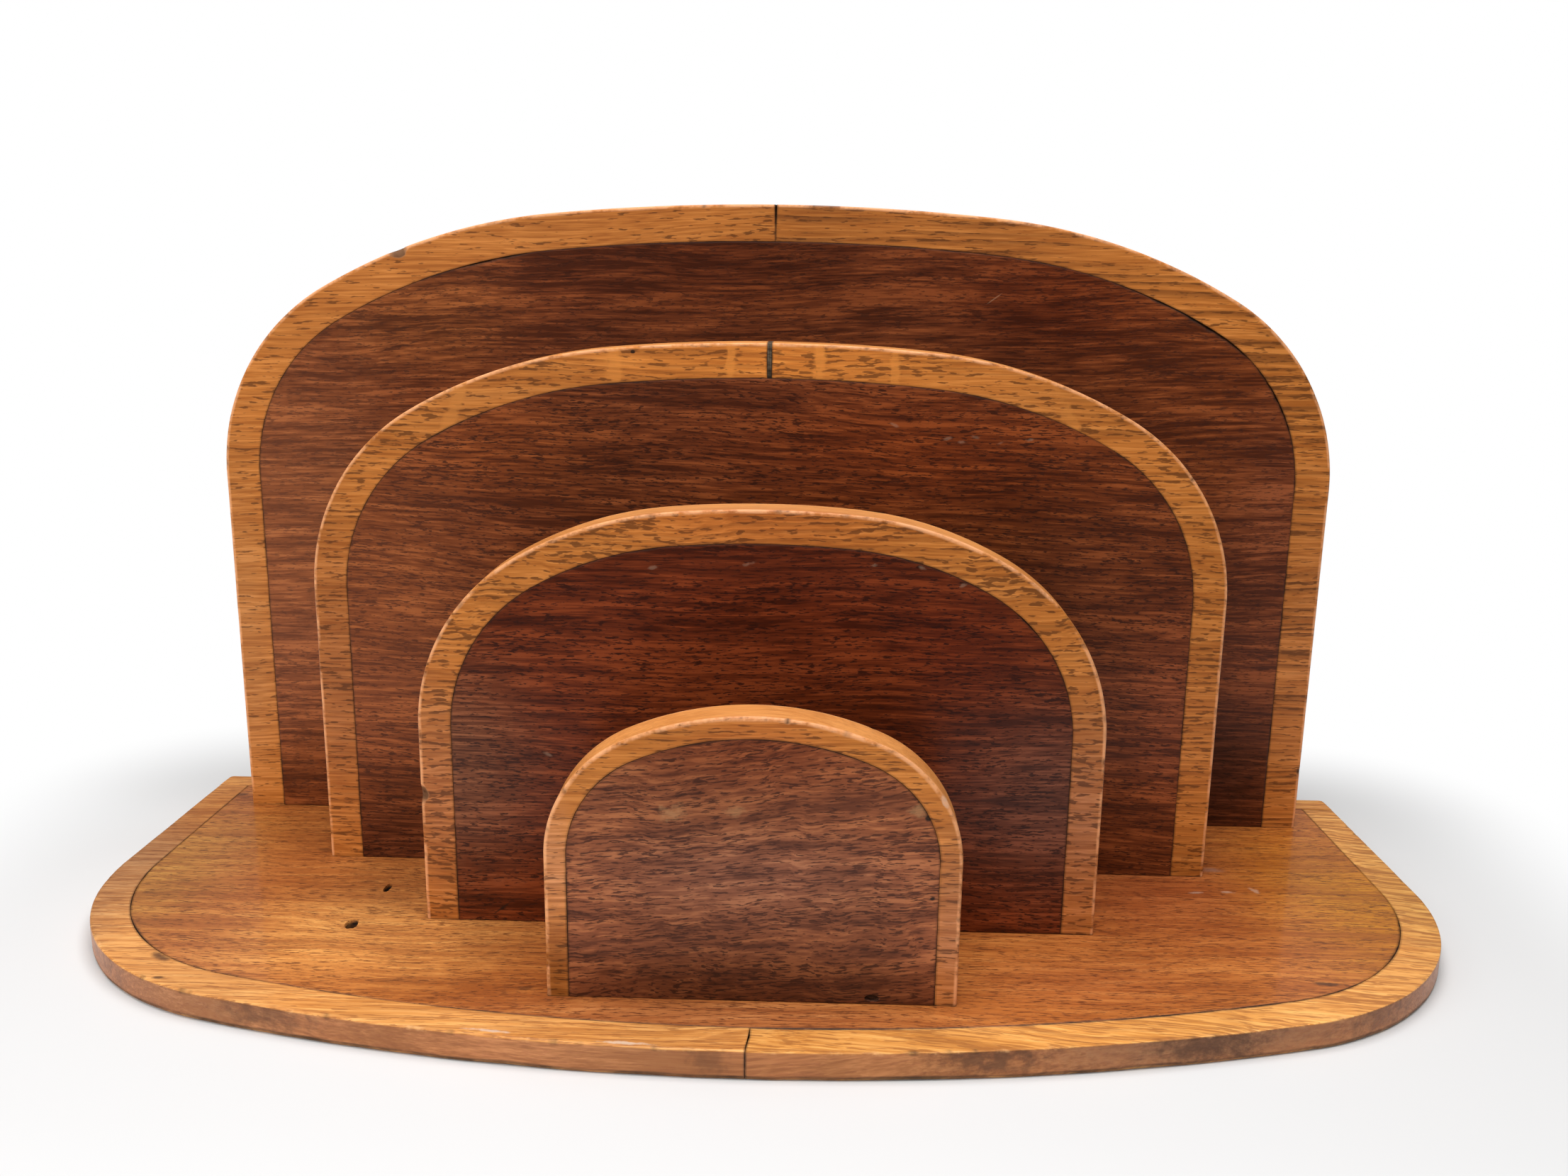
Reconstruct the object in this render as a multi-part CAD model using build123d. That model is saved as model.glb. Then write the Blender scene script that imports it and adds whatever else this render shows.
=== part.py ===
from build123d import *

import math
import os
from typing import NamedTuple

# Letter rack of polished wood, in millimetres. A flat base board carries four arched upright
# panels, the tallest at the rear. Each board is a dark core with a pale band let round its edge.
# +X is to the right of someone facing the rack, +Y to its rear and +Z up. The origin lies on the
# underside, at the middle of the base.

# Base board
base_width = 340.0
base_side_taper = 1.75
base_depth = 146.0
base_thickness = 6.8
base_corner_radius = 66.5
base_front_radius = 447.0
base_band_width = 9.0
base_rear_strip_width = 7.4
base_rear_corner_radius = 1.5
base_arris_radius = 0.5

# Row of panels: the front one stands back from the nose of the base, the rear one from its rear edge
panel_thickness = 9.0
panel_arris_radius = 0.5
front_setback = 19.6
rear_setback = 13.45

# Each panel has straight legs and a five-centred arch: round shoulders, flatter haunches and a nearly
# flat crown. A haunch turns from the crown to its own angle from the vertical, in degrees.
rear_side_margin = 17.7
rear_panel_height = 172.4
rear_shoulder_radius = 58.8
rear_haunch_radius = 158.0
rear_haunch_turn = 30.0
rear_crown_radius = 612.0
rear_band_width = 9.5
rear_screw_count = 3

second_panel_width = 233.4
second_panel_height = 138.2
second_shoulder_radius = 53.8
second_haunch_radius = 121.0
second_haunch_turn = 30.0
second_crown_radius = 426.0
second_band_width = 8.6
second_slip_width = 1.1
second_screw_count = 3

third_panel_width = 162.1
third_panel_height = 102.8
third_shoulder_radius = 48.4
third_haunch_radius = 86.0
third_haunch_turn = 30.0
third_crown_radius = 243.0
third_band_width = 7.9
third_screw_count = 2

front_panel_width = 89.7
front_panel_height = 65.2
front_shoulder_radius = 28.2
front_haunch_radius = 30.0
front_haunch_turn = 60.0
front_crown_radius = 68.0
front_band_width = 4.9
front_screw_count = 2

# Countersunk slotted wood screws, driven up through the base into the panel cores
screw_diameter = 3.0
screw_head_diameter = 5.6
screw_length = 17.0
screw_point_length = 4.0
screw_slot_width = 0.8
screw_slot_depth = 0.9
screw_recess = 0.3
screw_hole_clearance = 0.15
screw_side_inset = 24.0

# How far a cutting solid reaches past the faces that it cuts through
cut_margin = 2.0

# Places that follow from the sizes above
base_front_y = -base_depth / 2
base_rear_y = base_depth / 2
base_rear_width = base_width - 2 * base_side_taper
rear_panel_width = base_width - 2 * rear_side_margin
front_panel_y = base_front_y + front_setback
rear_panel_y = base_rear_y - rear_setback - panel_thickness
panel_pitch = (rear_panel_y - front_panel_y) / 3


class Panel(NamedTuple):
    """Sizes of one upright panel. A band in two halves has a slip, of no width where they butt."""

    name: str
    front_y: float
    width: float
    height: float
    shoulder: float
    haunch: float
    haunch_turn: float
    crown: float
    band: float
    screws: int
    slip: float | None = None


PANELS = [
    Panel("rear_panel", rear_panel_y, rear_panel_width, rear_panel_height, rear_shoulder_radius,
          rear_haunch_radius, rear_haunch_turn, rear_crown_radius, rear_band_width, rear_screw_count, 0.0),
    Panel("second_panel", front_panel_y + 2 * panel_pitch, second_panel_width, second_panel_height,
          second_shoulder_radius, second_haunch_radius, second_haunch_turn, second_crown_radius,
          second_band_width, second_screw_count, second_slip_width),
    Panel("third_panel", front_panel_y + panel_pitch, third_panel_width, third_panel_height,
          third_shoulder_radius, third_haunch_radius, third_haunch_turn, third_crown_radius,
          third_band_width, third_screw_count),
    Panel("front_panel", front_panel_y, front_panel_width, front_panel_height, front_shoulder_radius,
          front_haunch_radius, front_haunch_turn, front_crown_radius, front_band_width, front_screw_count),
]


def at_angle(centre, radius, angle):
    """Point on a circle, with the angle in radians."""
    return (centre[0] + radius * math.cos(angle), centre[1] + radius * math.sin(angle))


def mirrored(point):
    """The same point on the other side of the centre line."""
    return (-point[0], point[1])


def symmetric_face(plane, start, joint, arcs, middle):
    """Closed outline, the same on both sides: a line, tangent arcs, an arc over the middle, a line home.

    Each of the arcs is given by a point that it passes through and the point where it ends.
    """
    with BuildSketch(plane) as sketch:
        with BuildLine():
            Line(mirrored(start), start)
            Line(start, joint)
            Line(mirrored(joint), mirrored(start))
            for through, end in arcs:
                ThreePointArc(joint, through, end)
                ThreePointArc(mirrored(joint), mirrored(through), mirrored(end))
                joint = end
            ThreePointArc(joint, middle, mirrored(joint))
        make_face()
    return sketch.sketch


def arch_face(panel, inset=0.0):
    """Five-centred arch standing on the base top; an inset draws it concentric and smaller."""
    half = panel.width / 2
    turn = math.pi / 2 - math.radians(panel.haunch_turn)
    spread = half - panel.shoulder - (panel.haunch - panel.shoulder) * math.cos(turn)
    meet = math.acos(spread / (panel.crown - panel.haunch))
    crown_centre = (0.0, base_thickness + panel.height - panel.crown)
    haunch_centre = at_angle(crown_centre, panel.crown - panel.haunch, meet)
    shoulder_centre = at_angle(haunch_centre, panel.haunch - panel.shoulder, turn)

    shoulder, haunch = panel.shoulder - inset, panel.haunch - inset
    spring, shoulder_middle, shoulder_end = (
        at_angle(shoulder_centre, shoulder, part * turn) for part in (0, 0.5, 1)
    )
    haunch_middle, haunch_end = (
        at_angle(haunch_centre, haunch, turn + part * (meet - turn)) for part in (0.5, 1)
    )
    arcs = [(shoulder_middle, shoulder_end), (haunch_middle, haunch_end)]
    top = at_angle(crown_centre, panel.crown - inset, math.pi / 2)
    return symmetric_face(Plane.XZ, (spring[0], base_thickness), spring, arcs, top)


def upright(face, front_y, thickness):
    """Solid that stands square to Y, with the face as its outline."""
    return extrude(face.moved(Location((0, front_y, 0))), thickness, dir=(0, 1, 0))


def panel_blank(panel):
    """Whole panel before it is parted into core and band, its outer arrises eased."""
    blank = upright(arch_face(panel), panel.front_y, panel_thickness)
    arrises = [
        edge for edge in blank.edges()
        if abs(edge.tangent_at(0.5).Y) < 0.5 and edge.center().Z > base_thickness + panel_arris_radius
    ]
    return fillet(arrises, panel_arris_radius)


def side_of(part, from_x, to_x):
    """The stretch of a part that lies between two planes square to X."""
    box = part.bounding_box()
    slab = Box(to_x - from_x, box.size.Y + 2 * cut_margin, box.size.Z + 2 * cut_margin)
    return part & slab.moved(Location(((from_x + to_x) / 2, box.center().Y, box.center().Z)))


def panel_pieces(panel):
    """Core and band of one panel, cut from the same blank along the inner arch."""
    blank = panel_blank(panel)
    window = upright(
        arch_face(panel, panel.band),
        panel.front_y - cut_margin,
        panel_thickness + 2 * cut_margin,
    )
    band = blank - window
    pieces = {f"{panel.name}_core": blank & window}
    if panel.slip is None:
        pieces[f"{panel.name}_band"] = band
        return pieces
    reach = panel.width / 2 + cut_margin
    slip = panel.slip / 2
    pieces[f"{panel.name}_band_left"] = side_of(band, -reach, -slip)
    pieces[f"{panel.name}_band_right"] = side_of(band, slip, reach)
    if slip > 0:
        pieces[f"{panel.name}_joint_slip"] = side_of(band, -slip, slip)
    return pieces


def base_face(inset=0.0, rear_inset=0.0):
    """Plan of the base: splayed sides, round front corners and a shallow bowed front."""
    front_centre = (0.0, base_front_y + base_front_radius)
    corner_x = base_width / 2 - base_corner_radius
    reach = base_front_radius - base_corner_radius
    corner_centre = (corner_x, front_centre[1] - math.sqrt(reach ** 2 - corner_x ** 2))

    # The side is the line from the rear corner that touches the corner arc
    to_rear = (base_rear_width / 2 - corner_centre[0], base_rear_y - corner_centre[1])
    side = math.atan2(to_rear[1], to_rear[0]) - math.acos(base_corner_radius / math.hypot(*to_rear))
    bow = math.atan2(corner_centre[1] - front_centre[1], corner_x)

    corner = base_corner_radius - inset
    flank, turn, cheek = (
        at_angle(corner_centre, corner, side + part * (bow - side)) for part in (0, 0.5, 1)
    )
    rear_y = base_rear_y - rear_inset
    rear = (flank[0] - (rear_y - flank[1]) * math.tan(side), rear_y)
    return symmetric_face(Plane.XY, rear, flank, [(turn, cheek)], (0.0, base_front_y + inset))


def base_blank():
    """Whole base board with its rear corners and arrises eased."""
    blank = extrude(base_face(), base_thickness)
    blank = fillet(blank.edges().filter_by(Axis.Z).group_by(Axis.Y)[-1], base_rear_corner_radius)
    arrises = [edge for edge in blank.edges() if abs(edge.tangent_at(0.5).Z) < 0.5]
    return fillet(arrises, base_arris_radius)


def base_pieces():
    """Core, rear strip and the two side bands, all cut from one base board."""
    blank = base_blank()
    cut_height = base_thickness + 2 * cut_margin
    window = extrude(base_face(base_band_width, base_rear_strip_width), cut_height)
    window = window.moved(Location((0, 0, -cut_margin)))
    edging = blank - window
    strip_zone = Box(2 * base_width, 2 * base_rear_strip_width, cut_height)
    strip_zone = strip_zone.moved(Location((0, base_rear_y, base_thickness / 2)))
    sides = edging - strip_zone
    reach = base_width / 2 + cut_margin
    return {
        "base_core": blank & window,
        "base_band_rear": edging & strip_zone,
        "base_band_left": side_of(sides, -reach, 0.0),
        "base_band_right": side_of(sides, 0.0, reach),
    }


def turned(points):
    """Solid of revolution about Z from a closed profile of radius and height."""
    with BuildSketch(Plane.XZ) as sketch:
        with BuildLine():
            Polyline(*points, close=True)
        make_face()
    return revolve(sketch.sketch, Axis.Z)


def wood_screw():
    """Slotted countersunk screw, point up, its head just inside the underside of the base."""
    head = screw_head_diameter / 2
    shank = screw_diameter / 2
    tip = screw_recess + screw_length
    body = turned([
        (0.0, screw_recess),
        (head, screw_recess),
        (shank, screw_recess + head - shank),
        (shank, tip - screw_point_length),
        (0.0, tip),
    ])
    slot = Box(2 * screw_head_diameter, screw_slot_width, 2 * screw_slot_depth)
    return body - slot.moved(Location((0, 0, screw_recess)))


def screw_hole():
    """Clearance hole through the base, countersunk so that the head seats on its cone."""
    head = screw_head_diameter / 2
    hole = screw_diameter / 2 + screw_hole_clearance
    return turned([
        (0.0, -cut_margin),
        (head + screw_recess + cut_margin, -cut_margin),
        (hole, screw_recess + head - hole),
        (hole, base_thickness + cut_margin),
        (0.0, base_thickness + cut_margin),
    ])


def screw_places(panel):
    """Evenly spaced screws on the middle plane of one panel."""
    reach = panel.width / 2 - screw_side_inset
    step = 2 * reach / (panel.screws - 1)
    middle_y = panel.front_y + panel_thickness / 2
    return [Location((i * step - reach, middle_y, 0)) for i in range(panel.screws)]


def build():
    """All the pieces of the rack by name."""
    pieces = base_pieces()
    screws = []
    for panel in PANELS:
        pieces.update(panel_pieces(panel))
        for place in screw_places(panel):
            screw = wood_screw().moved(place)
            screws.extend(screw.solids())
            pieces["base_core"] -= screw_hole().moved(place)
            pieces[f"{panel.name}_core"] -= screw
    pieces["panel_screws"] = Compound(screws)
    return pieces


os.makedirs("parts", exist_ok=True)
for node, piece in build().items():
    piece.label = node
    export_step(piece, f"parts/{node}.step")
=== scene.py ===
"""Looks of a wooden letter rack: a bow-fronted base board carries four stepped arched panels.

Every board is a red-brown mahogany core inside a golden oak band. Lengths are in metres in the
frame of the part (+X right, +Y to the rear, +Z up); the finishes work in millimetres.
"""
import logging
import math
from collections.abc import Callable, Sequence
from dataclasses import dataclass, field
from enum import Enum
from itertools import count
from typing import NamedTuple

import bmesh
import bpy
from mathutils import Matrix, Vector, noise


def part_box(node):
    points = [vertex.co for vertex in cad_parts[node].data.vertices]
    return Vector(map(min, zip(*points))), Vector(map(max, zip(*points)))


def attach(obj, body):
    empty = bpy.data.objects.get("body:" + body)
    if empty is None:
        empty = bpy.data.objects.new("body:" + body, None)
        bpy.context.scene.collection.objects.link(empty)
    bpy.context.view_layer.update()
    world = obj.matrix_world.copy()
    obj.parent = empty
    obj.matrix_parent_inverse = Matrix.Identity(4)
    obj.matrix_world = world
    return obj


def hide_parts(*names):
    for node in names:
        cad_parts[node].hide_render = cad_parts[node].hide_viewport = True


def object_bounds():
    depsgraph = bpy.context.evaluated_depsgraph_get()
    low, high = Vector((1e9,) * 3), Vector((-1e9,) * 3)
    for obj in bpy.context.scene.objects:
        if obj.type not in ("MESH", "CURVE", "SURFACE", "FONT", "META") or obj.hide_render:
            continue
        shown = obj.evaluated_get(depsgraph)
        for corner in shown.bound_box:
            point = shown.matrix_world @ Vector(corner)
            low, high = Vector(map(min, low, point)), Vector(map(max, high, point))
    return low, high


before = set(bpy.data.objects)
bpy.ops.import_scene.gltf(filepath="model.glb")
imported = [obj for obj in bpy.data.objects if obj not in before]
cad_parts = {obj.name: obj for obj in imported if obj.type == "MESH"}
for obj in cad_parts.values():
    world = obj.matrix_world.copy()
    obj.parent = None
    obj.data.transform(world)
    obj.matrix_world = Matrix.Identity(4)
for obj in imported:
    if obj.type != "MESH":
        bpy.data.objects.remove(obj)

LOG = logging.getLogger("letter_rack")
CAD_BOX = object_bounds()
ROOT_BODY = "root"

MM = 0.001
# Spacing of the sections along an outline, and of the loops that keep a face flat beside a rounded edge
RING_STEP = 0.9 * MM
HOLD = 0.45 * MM
ARC_STEPS = 3
QUARTER_TURNS = tuple(math.pi / 2 * step / ARC_STEPS for step in range(ARC_STEPS + 1))
SMOOTH_BELOW = math.radians(38)
# Shares of a band's width and thickness past which its end may lie elsewhere, with room for rounding
INNER_FROM = 0.62
DEEP_FROM = 0.32
SLACK = 0.02
# Rims of loose pieces: beside a joint, and softened outside
JOINT_RIM = 0.12 * MM
OUTER_RIM = 0.45 * MM
# Step of the search for the place where an outline crosses a line
SEARCH_STEP = 0.05 * MM
# What is added to a seed for the back arris, the fine streaks, the hair lines and the pores
BACK_SEED = 3
FINE_SEED = 2.3
HAIR_SEED = 4.1
PORE_SEED = 6.0
# How far apart two seeds lie for the rubbed places with their painted highlight, and in the plank along each
# axis, in millimetres
RUB_AND_HIGHLIGHT_SEED = 17.0
PLANK_STEPS = (61.0, 37.0, 83.0)

Colour = tuple[float, float, float]
Place = tuple[float, float, float]
Pair = tuple[float, float]
Source = bpy.types.NodeSocket | float | tuple[float, ...]
Ring = list[bmesh.types.BMVert]


def ripple(along: float, seed: float) -> float:
    """Smooth noise from about -1 to 1 along a line."""
    return noise.noise(Vector((along, seed, 0.37 * seed + 0.11)))


class Slot(Enum):
    """Slots of the part's record for the wooden pieces."""

    MAHOGANY = "mahogany"
    OAK = "oak"
    DARK_SLIP = "dark_slip"


class Lie(Enum):
    """Which way a board's show face looks."""

    FRONT = "front"
    UP = "up"

    def place(self, flat: Vector, depth: float, face: float) -> Vector:
        """Puts a point of the board's outline into the frame.

        Args:
            flat: point in the plane of the board.
            depth: distance behind the show face.
            face: where the show face lies along its own axis.

        Returns:
            The point in the frame.
        """
        if self is Lie.FRONT:
            return Vector((flat.x, face + depth, flat.y))
        return Vector((flat.x, flat.y, face - depth))


@dataclass(frozen=True)
class Straight:
    """A straight run of an outline."""

    start: Vector
    end: Vector
    normal: Vector

    @property
    def length(self) -> float:
        """Length of the run."""
        return (self.end - self.start).length

    def at(self, along: float) -> tuple[Vector, Vector]:
        """Point and outward normal at a distance along the run."""
        return self.start.lerp(self.end, along / self.length), self.normal


@dataclass(frozen=True)
class Arc:
    """A round run of an outline, from one angle to another."""

    centre: Vector
    radius: float
    start: float
    end: float

    @property
    def length(self) -> float:
        """Length of the run."""
        return self.radius * abs(self.end - self.start)

    def at(self, along: float) -> tuple[Vector, Vector]:
        """Point and outward normal at a distance along the run.

        Args:
            along: distance from the start of the run.

        Returns:
            The point and the normal.
        """
        angle = self.start + (self.end - self.start) * along / self.length
        normal = Vector((math.cos(angle), math.sin(angle)))
        return self.centre + self.radius * normal, normal


@dataclass(frozen=True)
class Outline:
    """The outer line of a board, made of straight and round runs that join smoothly."""

    runs: tuple[Straight | Arc, ...]

    @property
    def length(self) -> float:
        """Length of the whole line."""
        return sum(run.length for run in self.runs)

    def at(self, along: float) -> tuple[Vector, Vector]:
        """Finds a place on the line.

        Args:
            along: distance from the start, which may lie past either end.

        Returns:
            The point and its outward normal.
        """
        for run in self.runs[:-1]:
            if along <= run.length:
                return run.at(along)
            along -= run.length
        return self.runs[-1].at(along)

    def inset(self, along: float, distance: float) -> Vector:
        """Point at a distance inwards from the line."""
        point, normal = self.at(along)
        return point - distance * normal

    def stations(self) -> list[float]:
        """Evenly spaced distances along the line, from end to end."""
        steps = math.ceil(self.length / RING_STEP)
        return [self.length * i / steps for i in range(steps + 1)]

    def nearest(self, target: Pair) -> float:
        """Distance along the line of the place nearest to a point.

        Args:
            target: a point in the plane of the board.

        Returns:
            Distance along the line, to the nearest small step.
        """
        steps = int(self.length / RING_STEP)
        goal = Vector(target)
        return min((self.length * i / steps for i in range(steps + 1)),
                   key=lambda along: (self.at(along)[0] - goal).length)


@dataclass(frozen=True)
class Chip:
    """A broken place on an arris or an open one in a joint: a point near it, half length and depth."""

    near: Pair
    reach: float
    depth: float

    def share(self, offset: float) -> float:
        """Share of the depth at a distance from the middle, below 0 outside the chip."""
        return 1 - (offset / self.reach) ** 2


@dataclass(frozen=True)
class Arris:
    """An outer edge softened by hand and use, so that its radius wanders and small bites are missing.

    The lengths say over what distance the radius wanders, bites follow each other and come in crowds,
    and how coarse the splinters of a chip are.
    """

    radius: float
    wander: float = 0.35
    nibble: float = 0.25 * MM
    seed: float = 1.0
    chips: tuple[Chip, ...] = ()
    wander_length: float = 11 * MM
    bite_length: float = 2.1 * MM
    bite_level: float = 0.28
    crowd_length: float = 17 * MM
    splinter_length: float = 0.9 * MM

    def sizes(self, outline: Outline) -> Callable[[float], Pair]:
        """Prepares the arris for one outline.

        Args:
            outline: the line that the arris follows.

        Returns:
            A function from the distance along the line to the radius there and how broken it is.
        """
        places = [(outline.nearest(chip.near), chip) for chip in self.chips]

        def size(along: float) -> Pair:
            """Radius and brokenness at a distance along the line.

            Args:
                along: distance along the line.

            Returns:
                The radius, and the brokenness from 0 to 1.
            """
            radius = self.radius * (1 + self.wander * ripple(along / self.wander_length, self.seed))
            bite = max(0.0, ripple(along / self.bite_length, self.seed + 5) - self.bite_level)
            bite *= max(0.0, 0.5 + ripple(along / self.crowd_length, self.seed + 9))
            broken = min(1.0, 3 * bite)
            radius += self.nibble * 2 * bite
            for middle, chip in places:
                share = chip.share(along - middle)
                if share > 0:
                    rough = 1 + 0.5 * ripple(along / self.splinter_length, self.seed)
                    radius += chip.depth * share * rough
                    broken = max(broken, min(1.0, 2.5 * share))
            return radius, broken

        return size


@dataclass(frozen=True)
class GlueGroove:
    """The fine groove of dark glue round a core, which has opened in places."""

    seed: float
    gap_seed: float
    gaps: tuple[Chip, ...] = ()
    half_width: float = 0.12 * MM
    least: float = 0.04 * MM
    wander_length: float = 14 * MM
    ragged_length: float = 2.5 * MM

    def sizes(self, outline: Outline, stations: Sequence[float]) -> Callable[[int], float]:
        """Prepares the groove for one outline.

        Args:
            outline: the outer line of the board.
            stations: distance along that line of each corner of the core.

        Returns:
            A function from the number of a corner to half the groove's width there.
        """
        places = [(outline.nearest(gap.near), gap) for gap in self.gaps]

        def size(index: int) -> float:
            """Half width of the groove at one corner.

            Args:
                index: number of the corner.

            Returns:
                Half width of the groove.
            """
            along = stations[index]
            width = self.half_width * (0.75 + 0.55 * ripple(along / self.wander_length, self.seed))
            for middle, gap in places:
                share = gap.share(along - middle)
                if share > 0:
                    ragged = 0.75 + 0.5 * ripple(along / self.ragged_length, self.gap_seed)
                    width += gap.depth * share * ragged
            return max(self.least, width)

        return size


@dataclass(frozen=True)
class Cut:
    """The end of a band piece: where it lies along the outline, outside and inside.

    Deep down the end may lie elsewhere, as in a joint that has opened at the face alone.
    """

    outer: float
    inner: float
    deep: float | None = None

    @classmethod
    def square(cls, along: float) -> "Cut":
        """A plain square end."""
        return cls(along, along)

    def at(self, inset_share: float, depth_share: float) -> float:
        """Place of the end for one point of the profile, by its shares of the width and depth.

        Args:
            inset_share: share of the band's width, from the outer edge.
            depth_share: share of its thickness, from the show face.

        Returns:
            Distance along the outline.
        """
        if self.deep is not None and depth_share > DEEP_FROM - SLACK:
            return self.deep
        return self.outer if inset_share < INNER_FROM - SLACK else self.inner


@dataclass(frozen=True)
class Pit:
    """A hole in a face: its place on the board, half sizes, depth, ragged rim and how much darker it is
    inside.

    The lip is the loop just under the mouth, and the shares are of the depth and of the mouth's size.
    """

    centre: Pair
    half: Pair
    depth: float
    floor_share: float = 0.7
    ragged: float = 0.25
    corners: int = 14
    darkening: float = 1.0
    rim_waves: float = 2.1
    dirt_broken: float = 0.4
    lip_depth: float = 0.25
    lip_share: float = 0.86

    def levels(self) -> tuple[Pair, ...]:
        """Share of the depth and of the mouth's size for the mouth, the lip and the floor."""
        return (0.0, 1.0), (self.lip_depth, self.lip_share), (1.0, self.floor_share)


class WoodMesh:
    """A mesh under construction, with the values its finish reads from the points."""

    VALUES = ("wear", "glue", "broken", "side")

    def __init__(self, name: str) -> None:
        """Starts an empty mesh.

        Args:
            name: name of the mesh and of its object.
        """
        self.name = name
        self.bm = bmesh.new()
        self.layers = {key: self.bm.verts.layers.float.new(key) for key in self.VALUES}

    def point(self, place: Vector, **values: float) -> bmesh.types.BMVert:
        """Adds a point with values for wear and painted highlight, glue and painted shadow, broken and side.

        Args:
            place: the point in the frame.
            values: values for the finish, 0 unless given.

        Returns:
            The new point.
        """
        vert = self.bm.verts.new(place)
        for key, value in values.items():
            vert[self.layers[key]] = value
        return vert

    def skin(self, first: Ring, second: Ring) -> None:
        """Joins two closed rings by a strip of faces."""
        for i in range(len(first)):
            self.bm.faces.new((first[i - 1], first[i], second[i], second[i - 1]))

    def lid(self, ring: Ring) -> None:
        """Closes a ring by one face."""
        self.bm.faces.new(ring)

    def fill(self, border: Ring, holes: Sequence[Ring], normal: Vector) -> None:
        """Fills a flat border, leaving holes open.

        Args:
            border: closed ring of points round the face.
            holes: closed rings inside it that stay open.
            normal: direction that the face looks in.
        """
        edges = []
        for ring in (border, *holes):
            for pair in zip(ring, (*ring[1:], ring[0])):
                edges.append(self.bm.edges.get(pair) or self.bm.edges.new(pair))
        bmesh.ops.triangle_fill(self.bm, use_beauty=True, edges=edges, normal=normal)

    def finish(self) -> bpy.types.Object:
        """Turns the mesh into an object of the scene, smooth but for its sharp edges.

        Returns:
            The new object.
        """
        bmesh.ops.recalc_face_normals(self.bm, faces=self.bm.faces)
        for face in self.bm.faces:
            face.smooth = True
        mesh = bpy.data.meshes.new(self.name)
        self.bm.to_mesh(mesh)
        self.bm.free()
        mesh.set_sharp_from_angle(angle=SMOOTH_BELOW)
        solid = bpy.data.objects.new(self.name, mesh)
        bpy.context.scene.collection.objects.link(solid)
        return solid


@dataclass(frozen=True)
class Board:
    """The place of a board in the frame and the line round it."""

    outline: Outline
    lie: Lie
    face: float
    thickness: float

    def place(self, flat: Vector, depth: float) -> Vector:
        """A point of the board in the frame."""
        return self.lie.place(flat, depth, self.face)

    def normal(self, show: bool) -> Vector:
        """Direction of the show face, or of the back."""
        return self.lie.place(Vector((0, 0)), -1.0 if show else 1.0, 0.0)


class SectionPoint(NamedTuple):
    """A point of a band's section, and how rubbed, glued and broken the wood is there; rubbed places also
    carry a painted highlight, and a base band's foot a painted shadow in the glue value.
    """

    inset: float
    depth: float
    wear: float = 0.0
    glue: float = 0.0
    broken: float = 0.0


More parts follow.
